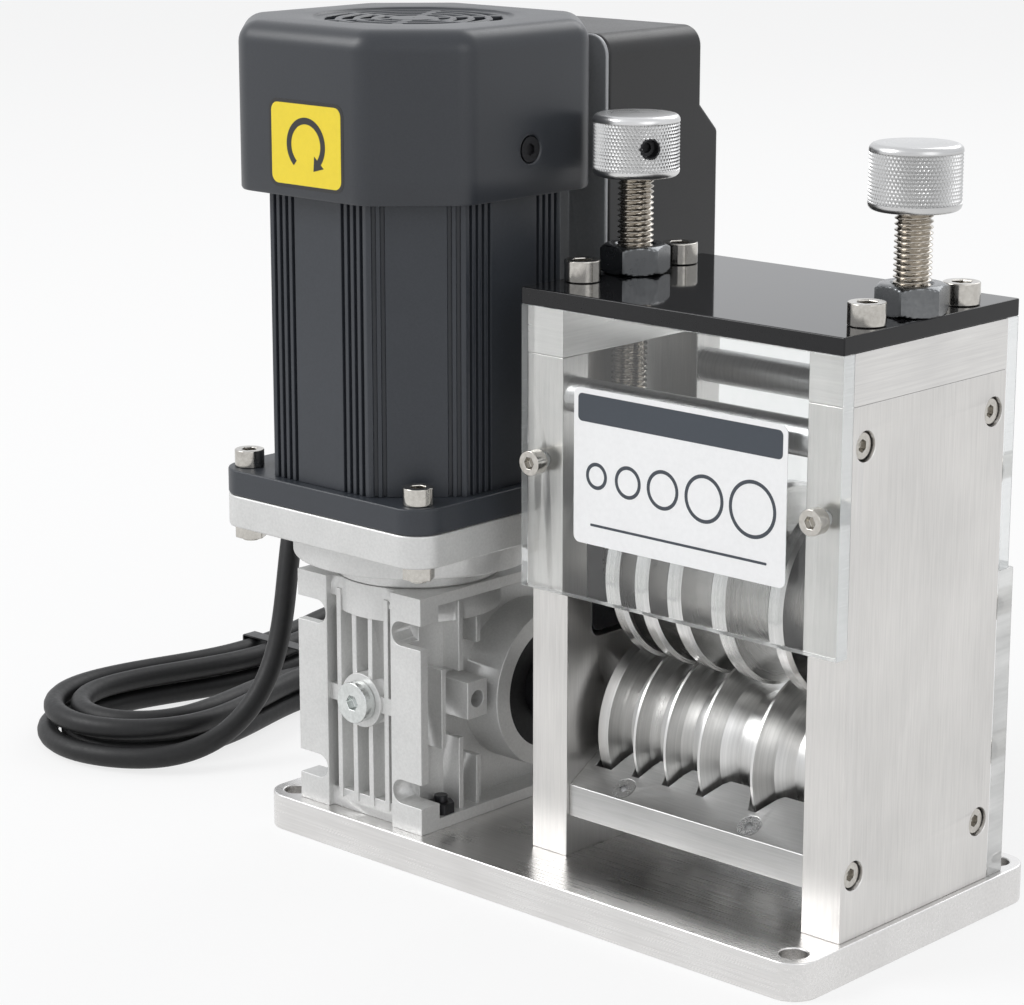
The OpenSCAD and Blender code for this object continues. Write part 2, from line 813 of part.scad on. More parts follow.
module comb_screws() {
    color(nickel) for (x = comb_screw_x)
        translate([x, comb_screw_y, comb_face_z(comb_screw_y)]) rotate([comb_slope, 0, 0]) difference() {
            union() {
                translate([0, 0, -comb_screw_l]) cylinder(d = m4[0], h = comb_screw_l);
                translate([0, 0, -comb_head_h]) cylinder(d1 = m4[0], d2 = comb_head_d, h = comb_head_h);
            }
            translate([0, 0, -1.5]) cylinder(d = m3[3] * 2 / sqrt(3), h = 2, $fn = 6);
        }
}

module tie_rods() {
    color(steel) for (p = [[-tie_y, tie_hi_z], [tie_y, tie_hi_z], [tie_y, tie_lo_z]]) difference() {
        x_rod(tie_d / 2, inner_x0, inner_x1, p[0], p[1]);
        for (x = [inner_x0, inner_x1 - guard_screw_in])
            x_rod(m4[0] / 2 + seat, x - cut, x + guard_screw_in + cut, p[0], p[1]);
    }
}

module side_plate_screws() {
    l = plate_t - tie_sink + guard_screw_in - 1;
    color(zinc) for (t = [-1, 1], z = [tie_lo_z, tie_hi_z]) {
        from_left(head_x0 + tie_sink, t * tie_y, z) socket_screw(m4, l);
        from_right(head_x1 - tie_sink, t * tie_y, z) socket_screw(m4, l);
    }
}

// Ball bearings that stay still: roller shaft, gearbox and motor
module fixed_bearings() {
    color(steel) {
        x_ring(shaft_bearing_d / 2, shaft_d / 2 + run, inner_x0 - shaft_bearing_w, inner_x0, 0, axis_z);
        x_ring(shaft_bearing_d / 2, shaft_d / 2 + run, inner_x1, inner_x1 + shaft_bearing_w, 0, axis_z);
        for (x = [gear_x - cavity_half - gear_bearing_w, gear_x + cavity_half])
            x_ring(gear_bearing_d / 2, sleeve_d / 2 + run, x, x + gear_bearing_w, 0, axis_z);
        z_ring(worm_low_bearing[1] / 2, worm_low_bearing[0] / 2 + run,
            worm_low_z, worm_low_z + worm_low_bearing[2], gear_x, worm_y);
        z_ring(worm_top_bearing[1] / 2, worm_top_bearing[0] / 2 + run,
            worm_shelf_z, worm_shelf_z + worm_top_bearing[2], gear_x, worm_y);
        for (z = [motor_low_bearing_z, motor_top_bearing_z])
            z_ring(motor_bearing[1] / 2, motor_bearing[0] / 2 + run, z, z + motor_bearing[2], gear_x, worm_y);
    }
}

// Corner post of the gearbox: a thin plate between two deeper lugs, cut away from back0 to back1
module gear_post(s, y0, y1, back0, back1) {
    outer = gear_x + s * gear_w / 2;
    side = outer - s * core_side;
    open = outer + s * cut;
    difference() {
        block([min(outer, outer - s * post_w), y0, base_t], [max(outer, outer - s * post_w), y1, gear_top]);
        block([min(open, side), back0, base_t + post_lug_h], [max(open, side), back1, gear_top - post_lug_h]);
    }
}

// Upright rib on a side of the gearbox
module side_rib(s, y, z0, z1) {
    in = gear_x + s * (gear_w / 2 - core_side - cut);
    out = gear_x + s * (gear_w / 2 - side_rib_in);
    block([min(in, out), y - rib_w / 2, z0], [max(in, out), y + rib_w / 2, z1]);
}

// The two slots of a post, open to the side
module post_slots(s, y0, y1) {
    deep = gear_x + s * (gear_w / 2 - post_slot_d);
    open = gear_x + s * (gear_w / 2 + cut);
    for (z = post_slot_z) {
        block([min(open, deep), y0, z - post_slot_w / 2], [max(open, deep), y1, z + post_slot_w / 2]);
        y_rod(post_slot_w / 2, y0, y1, deep, z);
    }
}

module gearbox_housing() {
    core = gear_w / 2 - core_side;
    front = -gear_front;
    color(cast) difference() {
        union() {
            block([gear_x - core, front + core_front, base_t],
                [gear_x + core, gear_back - core_in, gear_top - cut]);
            for (z = [base_t, gear_top - core_in])
                block([gear_x - gear_w / 2, front + post_plate, z],
                    [gear_x + gear_w / 2, gear_back - cut, z + core_in]);
            for (s = [-1, 1]) {
                gear_post(s, front, front + post_depth, front + post_plate, front + post_depth + cut);
                gear_post(s, gear_back - post_back, gear_back,
                    gear_back - post_back - cut, gear_back - post_plate);
                side_rib(s, mid_rib[0], axis_z - mid_rib[1], axis_z + mid_rib[1]);
                for (r = side_ribs) {
                    side_rib(s, r[0], base_t + core_in - cut, axis_z - r[1]);
                    side_rib(s, r[0], axis_z + r[1], gear_top - core_in + cut);
                }
            }
            for (z = [base_t, gear_top - lip_h]) {
                block([gear_x - gear_w / 2 + post_w - cut, front + lip_front, z],
                    [gear_x + gear_w / 2 - post_w + cut, front + post_depth, z + lip_h]);
                block([gear_x - gear_w / 2 + post_w - cut, gear_back - post_back, z],
                    [gear_x + gear_w / 2 - post_w + cut, gear_back - lip_back, z + lip_h]);
            }
            for (i = [0 : rib_count - 1]) {
                x = gear_x + (i - (rib_count - 1) / 2) * rib_pitch;
                block([x - rib_w / 2, front + rib_in, base_t + core_in],
                    [x + rib_w / 2, front + core_front + cut, gear_top - core_in]);
            }
            block([gear_x - gear_w / 2 + post_w - cut, front + rib_in, axis_z - rib_bar_h / 2],
                [gear_x + gear_w / 2 - post_w + cut, front + core_front + cut, axis_z + rib_bar_h / 2]);
            y_rod(oil_boss_r, front + oil_boss_in, front + core_front + 2 * cut, gear_x, axis_z);
            x_rod(hub_r, gear_x, hub_x1, 0, axis_z);
            x_rod(cover_flange_r, gear_x0, gear_x, 0, axis_z);
            block([gear_x, -lug_y - lug_w / 2, lug_z - lug_h / 2],
                [gear_x1 + lug_out, lug_w / 2 - lug_y, lug_z + lug_h / 2]);
            z_rod(neck_r, gear_top - neck_in, gear_top, gear_x, worm_y);
        }
        for (s = [-1, 1]) {
            post_slots(s, front - cut, front + post_depth);
            post_slots(s, gear_back - post_back, gear_back + cut);
        }
        x_rod(plug_hole_r + seat, gear_x0 - cut, gear_x - cavity_half, 0, axis_z);
        x_rod(cavity_r, gear_x - cavity_half - cut, gear_x + cavity_half, 0, axis_z);
        x_rod(gear_bearing_d / 2 + seat, gear_x, hub_x1 + cut, 0, axis_z);
        z_rod(worm_bore_r, worm_low_z, worm_shelf_z + cut, gear_x, worm_y);
        z_rod(worm_top_bearing[1] / 2 + seat, worm_shelf_z, gear_top + cut, gear_x, worm_y);
        y_rod(oil_plug_d / 2 + seat, front - cut, front + oil_plug_in, gear_x, axis_z);
        x_rod(m5[0] / 2, gear_x1 + lug_out - lug_hole_in, gear_x1 + lug_out + cut, -lug_y, lug_z);
        for (a = [45 : 90 : 315])
            x_rod(m4[0] / 2 + seat, gear_x0 - cut, gear_x0 + m4_long - cover_flange_t + hole_over,
                cover_screw_r * cos(a), axis_z + cover_screw_r * sin(a));
        for (p = stud_places)
            z_rod(stud_d / 2 + seat, base_t - cut, base_t + core_in + cut, p[0], p[1]);
    }
}

// Bolted cover on the hidden side, which lets the worm wheel in and carries a bearing and a seal
module gearbox_cover() {
    face = gear_x0 - cover_flange_t;
    color(cast) difference() {
        union() {
            x_rod(cover_flange_r, face, gear_x0, 0, axis_z);
            x_rod(plug_hole_r, gear_x0, gear_x - cavity_half, 0, axis_z);
        }
        x_rod(gear_bearing_d / 2 + seat, face - cut, gear_x - cavity_half + cut, 0, axis_z);
        for (a = [45 : 90 : 315])
            x_rod(m4[0] / 2 + seat, face - cut, gear_x0 + cut,
                cover_screw_r * cos(a), axis_z + cover_screw_r * sin(a));
    }
}

// Equal screws: four in the gearbox cover and two that hold the tray to the motor
module m4_screws() {
    color(zinc) {
        for (a = [45 : 90 : 315])
            from_left(gear_x0 - cover_flange_t, cover_screw_r * cos(a), axis_z + cover_screw_r * sin(a))
                socket_screw(m4, m4_long);
        for (z = tray_screw_z)
            from_back(tray_screw_x, tray_y0 + tray_t, z) socket_screw(m4, m4_long);
    }
}

module oil_plug() {
    color(zinc) from_front(gear_x, -gear_front, axis_z) difference() {
        union() {
            translate([0, 0, -0.8]) cylinder(d = oil_head_d, h = 0.8 + oil_head_h);
            translate([0, 0, -oil_plug_in]) cylinder(d = oil_plug_d, h = oil_plug_in);
        }
        translate([0, 0, oil_head_h - 2.5]) cylinder(d = m5[3] * 2 / sqrt(3), h = 4, $fn = 6);
    }
}

module output_seals() {
    color(black) {
        x_ring(gear_bearing_d / 2, sleeve_d / 2 + run,
            hub_x1 - seal_in - seal_w, hub_x1 - seal_in, 0, axis_z);
        x_ring(gear_bearing_d / 2, sleeve_d / 2 + run,
            gear_x - cavity_half - gear_bearing_w - seal_w, gear_x - cavity_half - gear_bearing_w, 0, axis_z);
    }
}

// Studs through the base plate, each with a nut on its gearbox foot
module gearbox_studs() {
    color(black) for (p = stud_places) {
        z_rod(stud_d / 2, 1, base_t + core_in + stud_nut_h + 2, p[0], p[1]);
        translate([p[0], p[1], base_t + core_in]) rotate(30)
            hex_nut(stud_nut_af, stud_d + 2 * seat, stud_nut_h);
    }
}

module adapter_flange() {
    spigot_r = worm_top_bearing[1] / 2;
    color(cast) difference() {
        union() {
            translate([gear_x, worm_y, gear_top + neck_h]) linear_extrude(adapter_t)
                rounded_rect(flange_s, flange_s, flange_r);
            z_rod(disc_neck_r, gear_top + neck_low_h, gear_top + neck_h, gear_x, worm_y);
            z_rod(neck_r, gear_top, gear_top + neck_low_h, gear_x, worm_y);
            z_rod(spigot_r, gear_top - spigot_h, gear_top, gear_x, worm_y);
        }
        z_rod(worm_top_bearing[0] / 2 + 1, gear_top - spigot_h - cut, flange_z + cut, gear_x, worm_y);
        for (sx = [-1, 1], sy = [-1, 1])
            z_rod(m5[0] / 2 + seat, gear_top, flange_z + cut,
                gear_x + sx * flange_screw_o, worm_y + sy * flange_screw_o);
    }
}

module flange_screws() {
    color(nickel) for (sx = [-1, 1], sy = [-1, 1])
        translate([gear_x + sx * flange_screw_o, worm_y + sy * flange_screw_o, 0]) {
            translate([0, 0, body_z]) socket_screw(m5, flange_t + adapter_t + flange_nut_h + 0.8);
            translate([0, 0, gear_top + neck_h - flange_nut_h])
                hex_nut(flange_nut_af, m5[0] + 2 * seat, flange_nut_h);
        }
}

module motor_flange() {
    color(slate) difference() {
        union() {
            translate([gear_x, worm_y, flange_z]) linear_extrude(flange_t)
                rounded_rect(flange_s, flange_s, flange_r);
            z_rod(motor_bearing[1] / 2 + bearing_wall, body_z - cut, body_z + motor_bearing[2],
                gear_x, worm_y);
        }
        z_rod(motor_bearing[0] / 2 + 2, flange_z - cut, body_z, gear_x, worm_y);
        z_rod(motor_bearing[1] / 2 + seat, motor_low_bearing_z, body_z + motor_bearing[2] + cut,
            gear_x, worm_y);
        for (sx = [-1, 1], sy = [-1, 1])
            z_rod(m5[0] / 2 + seat, flange_z - cut, body_z + cut,
                gear_x + sx * flange_screw_o, worm_y + sy * flange_screw_o);
    }
}

// Motor body: chamfered tube with a group of fine grooves on each side of every chamfer edge
module motor_body() {
    corner = body_af / 2 - body_chamfer;
    color(slate) difference() {
        translate([gear_x, worm_y, body_z]) linear_extrude(body_h) difference() {
            octagon(body_af, body_chamfer);
            circle(r = stator_r + seat);
            for (q = [0 : 90 : 270], m = [-1, 1], i = [0 : fin_count - 1])
                rotate(q) translate([body_af / 2, m * (corner - fin_start - i * fin_pitch)])
                    square([2 * fin_depth, fin_w], center = true);
            for (q = [45 : 90 : 315], m = [-1, 1], i = [0 : 1])
                rotate(q) translate([(body_af - body_chamfer) / sqrt(2),
                    m * (body_chamfer / sqrt(2) - fin_start - i * fin_pitch)])
                    square([2 * fin_depth, fin_w], center = true);
        }
        for (z = tray_screw_z)
            y_rod(m4[0] / 2 + seat, motor_back - tray_screw_in - 0.3, motor_back + cut, tray_screw_x, z);
    }
}

module stator_core() {
    color(steel) z_ring(stator_r, rotor_r + air_gap, core_z0, core_z0 + core_h, gear_x, worm_y);
}

// End turns of the windings on both faces of the core
module windings() {
    color(copper) for (z = [core_z0 - winding_h, core_z0 + core_h])
        translate([gear_x, worm_y, z]) rotate_extrude()
            polygon([[winding_r0, 0], [winding_r1, 0], [winding_r1 + 1, winding_h / 2],
                [winding_r1, winding_h], [winding_r0, winding_h], [winding_r0 - 1, winding_h / 2]]);
}

module rear_shield() {
    color(slate) difference() {
        union() {
            translate([gear_x, worm_y, cover_z]) linear_extrude(shield_t)
                octagon(cover_af - 2 * cover_wall - 2 * shield_play, cover_chamfer - cover_wall * 0.6);
            z_rod(motor_bearing[1] / 2 + bearing_wall, motor_top_bearing_z, cover_z + cut, gear_x, worm_y);
            for (a = [0 : 180 : 180])
                translate([gear_x, worm_y, cover_z]) rotate(a)
                    block([cover_af / 2 - cover_wall - cover_lug_w, -cover_lug_w / 2, cut],
                        [cover_af / 2 - cover_wall - shield_play, cover_lug_w / 2,
                            cover_screw_h + cover_lug_over]);
        }
        z_rod(motor_bearing[1] / 2 + seat, motor_top_bearing_z - cut,
            motor_top_bearing_z + motor_bearing[2], gear_x, worm_y);
        z_rod(motor_bearing[0] / 2 + 1, motor_top_bearing_z, cover_z + shield_t + cut, gear_x, worm_y);
        for (a = [0 : 180 : 180])
            translate([gear_x, worm_y, cover_z + cover_screw_h]) rotate([0, 90, a])
                cylinder(d = m4[0] + 2 * seat, h = cover_af / 2);
        translate([gear_x, worm_y, fan_z0 - fan_room]) cylinder(r = fan_r + fan_room, h = fan_h + cover_h);
    }
}

// Fan cover as a solid: straight sides and a top edge drawn in by two bevels
module fan_cover_shape(in, top) {
    af = cover_af - 2 * in;
    leg = cover_chamfer - 0.6 * in;
    edge = cover_edge_r - in;
    mid = af - 2 * edge * (1 - cos(45));
    levels = [[af - 2 * edge, top], [mid, top - edge * (1 - sin(45))], [af, top - edge],
        [af, cover_z - (in > 0 ? cut : 0)]];
    loft([for (l = levels) [for (q = octagon_points(l[0], leg * l[0] / af))
        [gear_x + q[0], worm_y + q[1], l[1]]]]);
}

// Fan cover: thin shell with ring slots in its top and a sunk screw in the middle of each side
module fan_cover() {
    color(slate) difference() {
        fan_cover_shape(0, motor_top);
        fan_cover_shape(cover_wall, motor_top - cover_wall);
        for (r = vent_rings) difference() {
            z_ring(r[1], r[0], motor_top - 2 * cover_wall, motor_top + cut, gear_x, worm_y);
            for (a = [0 : 60 : 120])
                translate([gear_x, worm_y, motor_top]) rotate(a)
                    cube([2 * r[1] + 2, vent_bridge, 6 * cover_wall], center = true);
        }
        for (a = [0 : 180 : 180])
            translate([gear_x, worm_y, cover_z + cover_screw_h]) rotate([0, 90, a]) {
                cylinder(d = m4[0] + 2 * seat, h = cover_af);
                translate([0, 0, cover_af / 2 - 1]) cylinder(d = m4[1] + 0.6, h = 5);
            }
    }
}

module fan_cover_screws() {
    color(black) for (a = [0 : 180 : 180])
        translate([gear_x, worm_y, cover_z + cover_screw_h]) rotate([0, 90, a])
            translate([0, 0, cover_af / 2 - 1]) difference() {
                union() {
                    cylinder(d = m4[1], h = 0.9);
                    translate([0, 0, -cover_screw_l]) cylinder(d = m4[0], h = cover_screw_l);
                }
                cylinder(d = m4[3] * 2 / sqrt(3), h = 2, $fn = 6);
            }
}

// Rounded box along Y, the section of the control box
module box_section(in, y0, y1) {
    translate([gear_x, y1, (box_z0 + box_z1) / 2]) rotate([90, 0, 0])
        linear_extrude(y1 - y0) rounded_rect(box_w - 2 * in, box_h - 2 * in, max(box_r - in, 1));
}

// Tray of the control box, standing off the motor body on a foot, its edge a rim in front of the cover
module box_tray() {
    color(cast) difference() {
        union() {
            box_section(0, tray_y0, box_y0);
            box_section(box_wall + 0.15, tray_y0, tray_y0 + tray_t);
            block([gear_x - tray_foot_w / 2, motor_back, box_z0 + 4],
                [gear_x + tray_foot_w / 2, tray_y0 + 0.5, cover_z - 4]);
        }
        for (z = tray_screw_z)
            y_rod(m4[0] / 2 + seat, motor_back - cut, tray_y0 + tray_t + cut, tray_screw_x, z);
    }
}

// Deeper lower part behind the box, with a sloping top, that holds the switch
module switch_shape(in) {
    translate([box_x0 + in, 0, 0]) rotate([90, 0, 90]) linear_extrude(box_w - 2 * in)
        polygon([[box_y1 - 3, switch_z0 + in + 4], [switch_y1 - in - 3, switch_z0 + in + 4],
            [switch_y1 - in, switch_z0 + in + 7], [switch_y1 - in, switch_z1 - switch_slope - in],
            [box_y1 - 3, switch_z1 - in + 3]]);
}

module box_cover() {
    hole_w = rocker_w + 2 * bezel_neck + 0.4;
    hole_h = rocker_h + 2 * bezel_neck + 0.4;
    color(black) difference() {
        union() {
            box_section(0, box_y0, box_y1);
            intersection() {
                switch_shape(0);
                block([box_x0, box_y1 - 1, box_z0], [box_x1, switch_y1, box_z1]);
            }
        }
        box_section(box_wall, box_y0 - cut, box_y1 - box_wall);
        switch_shape(box_wall);
        block([gear_x - hole_w / 2, switch_y1 - box_wall - cut, rocker_z - hole_h / 2],
            [gear_x + hole_w / 2, switch_y1 + cut, rocker_z + hole_h / 2]);
        x_rod(relief_d0 / 2 + seat, box_x0 - cut, box_x0 + box_wall + cut, relief_y, relief_z);
    }
}

module capacitor() {
    color(steel) z_rod(capacitor_d / 2, box_z0 + 30, box_z0 + 30 + capacitor_h,
        gear_x + 13, tray_y0 + tray_t + capacitor_d / 2);
}

// Bezel of the rocker switch: frame with a neck in the cover and a cradle for the rocker's pin
module switch_bezel() {
    w = rocker_w + 2 * bezel_neck;
    h = rocker_h + 2 * bezel_neck;
    color(black) difference() {
        union() {
            block([gear_x - w / 2 - bezel_frame, switch_y1, rocker_z - h / 2 - bezel_frame],
                [gear_x + w / 2 + bezel_frame, switch_y1 + bezel_t, rocker_z + h / 2 + bezel_frame]);
            block([gear_x - w / 2, switch_y1 - bezel_depth, rocker_z - h / 2],
                [gear_x + w / 2, switch_y1 + cut, rocker_z + h / 2]);
        }
        block([gear_x - rocker_w / 2 - 0.3, switch_y1 - bezel_depth - cut, rocker_z - rocker_h / 2 - 0.3],
            [gear_x + rocker_w / 2 + 0.3, switch_y1 + bezel_t + cut, rocker_z + rocker_h / 2 + 0.3]);
        x_rod(rocker_pin_d / 2 + run, gear_x - rocker_w / 2 - 1.4, gear_x + rocker_w / 2 + 1.4,
            switch_y1, rocker_z);
    }
}

module switch_rocker() {
    color(black) translate([gear_x, switch_y1, rocker_z]) rotate([rocker_swing, 0, 0]) {
        translate([-rocker_w / 2, 0, 0]) rotate([90, 0, 90]) linear_extrude(rocker_w)
            polygon([[-4, -rocker_h / 2 + 3], [rocker_rise, -rocker_h / 2 + 0.6], [rocker_rise - 1.6, 0],
                [rocker_rise, rocker_h / 2 - 0.6], [-4, rocker_h / 2 - 3]]);
        x_rod(rocker_pin_d / 2, -rocker_w / 2 - 1.2, rocker_w / 2 + 1.2, 0, 0);
    }
}

// Strain relief: flange inside the box and a tapering sleeve outside
module strain_relief() {
    color(black) translate([box_x0, relief_y, relief_z]) rotate([0, -90, 0]) difference() {
        union() {
            translate([0, 0, -box_wall - 2]) cylinder(d = relief_flange_d, h = 2);
            translate([0, 0, -box_wall - 1]) cylinder(d = relief_d0, h = box_wall + 1);
            cylinder(d = relief_flange_d, h = 2);
            cylinder(d1 = relief_d0, d2 = relief_d1, h = relief_l);
        }
        translate([0, 0, -box_wall - 3]) cylinder(d = cord_d + 0.4, h = relief_l + box_wall + 2);
    }
}

// Tube swept along points: one ring of sides at each point, square to the path there
function unit(v) = v / norm(v);
function path_way(p, i) = unit(p[min(i + 1, len(p) - 1)] - p[max(i - 1, 0)]);
function tube_ring(p, i, d, sides, ref) =
    let (t = path_way(p, i), n = unit(cross(t, ref)), b = cross(n, t))
    [for (k = [0 : sides - 1]) p[i] + d / 2 * (cos(360 * k / sides) * n + sin(360 * k / sides) * b)];

module tube(p, d, sides, ref) {
    loft([for (i = [0 : len(p) - 1]) tube_ring(p, i, d, sides, ref)]);
}

module cord() {
    color(black) tube(route, cord_d, cord_sides, [0, 1, -0.5]);
}

// Hank: the space of the laid-up cord, two runs drawn in at the tie between two round folds
function hank_half(r, i) = r - hank_draw * (1 - cos(360 * i / hank_runs)) / 2;
function hank_row(i) = hank_near + i / hank_runs * (hank_far - hank_near);
module hank_outline(r) {
    polygon(concat(
        [for (a = [180 : 15 : 360]) [hank_x + r * cos(a), hank_near + r * sin(a)]],
        [for (i = [1 : hank_runs - 1]) [hank_x + hank_half(r, i), hank_row(i)]],
        [for (a = [0 : 15 : 180]) [hank_x + r * cos(a), hank_far + r * sin(a)]],
        [for (i = [hank_runs - 1 : -1 : 1]) [hank_x - hank_half(r, i), hank_row(i)]]
    ));
}

module cord_hank() {
    last = len(route) - 1;
    color(black) {
        difference() {
            translate([0, 0, hank_z - cord_d / 2]) linear_extrude(hank_layer + cord_d) difference() {
                hank_outline(hank_out_r);
                hank_outline(hank_hole_r);
            }
            translate([0, 0, -cut]) linear_extrude(hank_z + cord_d / 2 + cut + 2 * hank_groove_gap)
                for (i = [last - 4 : last - 1]) hull() {
                    translate([route[i][0], route[i][1]]) circle(d = cord_d + 2 * hank_groove_gap);
                    translate([route[i + 1][0], route[i + 1][1]]) circle(d = cord_d + 2 * hank_groove_gap);
                }
        }
        y_rod(cord_d / 2, hank_far, tail[1], tail[0], tail[2]);
    }
}

// Tie: a flat band round both runs at the waist
module cord_tie() {
    half = hank_out_r - hank_draw + tie_room;
    z0 = tie_t;
    z1 = hank_z + hank_layer + cord_d / 2 + tie_room;
    color(black) translate([hank_x, (hank_near + hank_far + tie_w) / 2, (z0 + z1) / 2]) rotate([90, 0, 0])
        linear_extrude(tie_w) difference() {
            rounded_rect(2 * (half + tie_t), z1 - z0 + 2 * tie_t, tie_room + tie_t);
            rounded_rect(2 * half, z1 - z0, tie_room);
        }
}

// Plug: moulded body with a round collar and two flat blades
module plug() {
    p = tail;
    half = p[2] - 0.2;
    y0 = p[1] + plug_collar;
    y1 = y0 + plug_l;
    color(black) {
        y_rod(cord_d / 2 + 2, p[1], y0 + cut, p[0], p[2]);
        block([p[0] - plug_w / 2, y0, p[2] - half], [p[0] + plug_w / 2, y1, p[2] + half]);
        for (s = [-1, 1])
            block([p[0] + s * blade_gap / 2 - blade_t / 2, y1 - cut, p[2] - blade_w / 2],
                [p[0] + s * blade_gap / 2 + blade_t / 2, y1 + blade_l, p[2] + blade_w / 2]);
    }
}

// Roller shaft: bearing journals, a shoulder on the left and a slimmer end in the gearbox
module drive_shaft() {
    color(steel) difference() {
        union() {
            x_rod(shaft_d / 2, shaft_step_x, inner_x1 + shaft_bearing_w - 0.5, 0, axis_z);
            x_rod(sleeve_bore_d / 2, gear_x0 + 1, shaft_step_x + cut, 0, axis_z);
            x_rod(shaft_d / 2 + 3, inner_x0 + 0.6, roller_x0, 0, axis_z);
        }
        key_block(seat);
    }
}

// Key between the shaft and the output sleeve
module key_block(grow) {
    block([gear_x - key_l / 2 - grow, -key_w / 2 - grow, axis_z + sleeve_bore_d / 2 - key_in - grow],
        [gear_x + key_l / 2 + grow, key_w / 2 + grow, axis_z + sleeve_bore_d / 2 + key_out + grow]);
}

module drive_key() {
    color(steel) key_block(0);
}

module output_sleeve() {
    color(steel) difference() {
        x_rod(sleeve_d / 2, gear_x0 - cover_flange_t, hub_x1 + sleeve_out, 0, axis_z);
        x_rod(sleeve_bore_d / 2 + seat, gear_x0 - cover_flange_t - cut, hub_x1 + sleeve_out + cut, 0, axis_z);
        key_block(seat);
    }
}

// Worm wheel with straight thinned teeth, a gap facing the worm
function wheel_points() = [for (i = [0 : wheel_teeth - 1])
    let (a = 180 + (i + 0.5) * 360 / wheel_teeth, tip = wheel_r + tooth_up, root = wheel_r - tooth_down,
        ta = 0.13 * 360 / wheel_teeth, ra = 0.29 * 360 / wheel_teeth)
    each [[root * cos(a - ra), root * sin(a - ra)], [tip * cos(a - ta), tip * sin(a - ta)],
        [tip * cos(a + ta), tip * sin(a + ta)], [root * cos(a + ra), root * sin(a + ra)]]];

module worm_wheel() {
    color(bronze) translate([gear_x - wheel_w / 2, 0, axis_z]) rotate([90, 0, 90])
        linear_extrude(wheel_w) difference() {
            polygon(wheel_points());
            circle(r = sleeve_d / 2 + seat);
        }
}

// Rotor: laminated core and shaft, whose lower end drives the worm
module rotor() {
    color(steel) {
        z_ring(rotor_r, motor_shaft_d / 2 + seat, core_z0, core_z0 + core_h, gear_x, worm_y);
        z_rod(motor_shaft_d / 2, flange_z - 4, fan_z0 + fan_h, gear_x, worm_y);
        z_rod(input_d / 2, worm_hub_z + 2.5, flange_z - 4, gear_x, worm_y);
    }
}

// Cross-section of the worm thread: crest, two flanks and root
thread_points = [[-32, 1], [-11, 1], [11, 1], [32, 1], [68, 0.5], [105, 0],
    [142, 0], [180, 0], [218, 0], [255, 0], [292, 0.5]];

module worm() {
    root = worm_r - tooth_down;
    height = tooth_up + tooth_down;
    z0 = axis_z - worm_half;
    color(steel) difference() {
        union() {
            translate([gear_x, worm_y, z0]) rotate(90 - 360 * worm_half / pitch)
                linear_extrude(2 * worm_half, twist = -360 * 2 * worm_half / pitch,
                    slices = round(12 * 2 * worm_half / pitch), $fn = len(thread_points))
                    polygon([for (p = thread_points) (root + height * p[1]) * [cos(p[0]), sin(p[0])]]);
            z_rod(worm_low_bearing[0] / 2, worm_low_z + 0.4, z0 + 0.5, gear_x, worm_y);
            z_rod(worm_low_bearing[0] / 2, axis_z + worm_half - 0.5, worm_hub_z + 1, gear_x, worm_y);
            z_rod(worm_top_bearing[0] / 2, worm_hub_z, gear_top + 4, gear_x, worm_y);
        }
        z_rod(input_d / 2 + seat, worm_hub_z + 2, gear_top + 4 + cut, gear_x, worm_y);
    }
}

module cooling_fan() {
    color(black) translate([gear_x, worm_y, fan_z0]) difference() {
        union() {
            cylinder(r = fan_hub_r, h = fan_h);
            cylinder(r = fan_r, h = 2);
            for (a = [0 : 360 / fan_blades : 359])
                rotate(a) translate([fan_hub_r - 1, -1, 1]) cube([fan_r - fan_hub_r, 2, fan_h - 2]);
        }
        translate([0, 0, -cut]) cylinder(d = motor_shaft_d + 2 * seat, h = fan_h + 2 * cut);
    }
}

// Sliding blocks that carry the cutter bearings
module bearing_blocks() {
    half = pocket_w / 2 - block_play;
    color(black) for (i = [0, 1]) {
        x0 = screw_x[i] - block_t / 2;
        x1 = screw_x[i] + block_t / 2;
        difference() {
            union() {
                block([x0, -half, block_z0 + pocket_r], [x1, half, block_z1]);
                block([x0, pocket_r - half, block_z0], [x1, half - pocket_r, block_z1]);
                for (t = [-1, 1])
                    x_rod(pocket_r, x0, x1, t * (half - pocket_r), block_z0 + pocket_r);
            }
            x_rod(shaft_bearing_d / 2 + seat, x0 - cut, x1 + cut, 0, cutter_z);
            z_rod(screw_tip_d / 2 + run, block_z1 - screw_tip_l - 0.2, block_z1 + cut, screw_x[i], 0);
        }
    }
}

module upper_bearings() {
    half = shaft_bearing_w / 2;
    color(steel) for (x = screw_x)
        x_ring(shaft_bearing_d / 2, shaft_d / 2 + run, x - half, x + half, 0, cutter_z);
}

module cutter_shaft() {
    reach = pocket_depth - 0.8;
    color(steel) x_rod(shaft_d / 2, inner_x0 - reach, inner_x1 + reach, 0, cutter_z);
}

// Cutter discs, one over each groove, with a bevel on both edges of the rim
module cutter_discs() {
    color(steel) for (i = [0 : len(groove_w) - 1])
        translate([groove_mid(i) - disc_t / 2, 0, cutter_z]) rotate([0, 90, 0]) rotate_extrude()
            polygon([[shaft_d / 2 + seat, 0], [disc_r - disc_bevel, 0], [disc_r, disc_bevel],
                [disc_r, disc_t - disc_bevel], [disc_r - disc_bevel, disc_t], [shaft_d / 2 + seat, disc_t]]);
}

module disc_spacers() {
    edges = concat([inner_x0 + 0.4 - disc_t / 2], [for (i = [0 : len(groove_w) - 1]) groove_mid(i)],
        [inner_x1 - 0.4 + disc_t / 2]);
    color(steel) for (i = [0 : len(groove_w)])
        x_ring(spacer_r, shaft_d / 2 + seat, edges[i] + disc_t / 2, edges[i + 1] - disc_t / 2, 0, cutter_z);
}

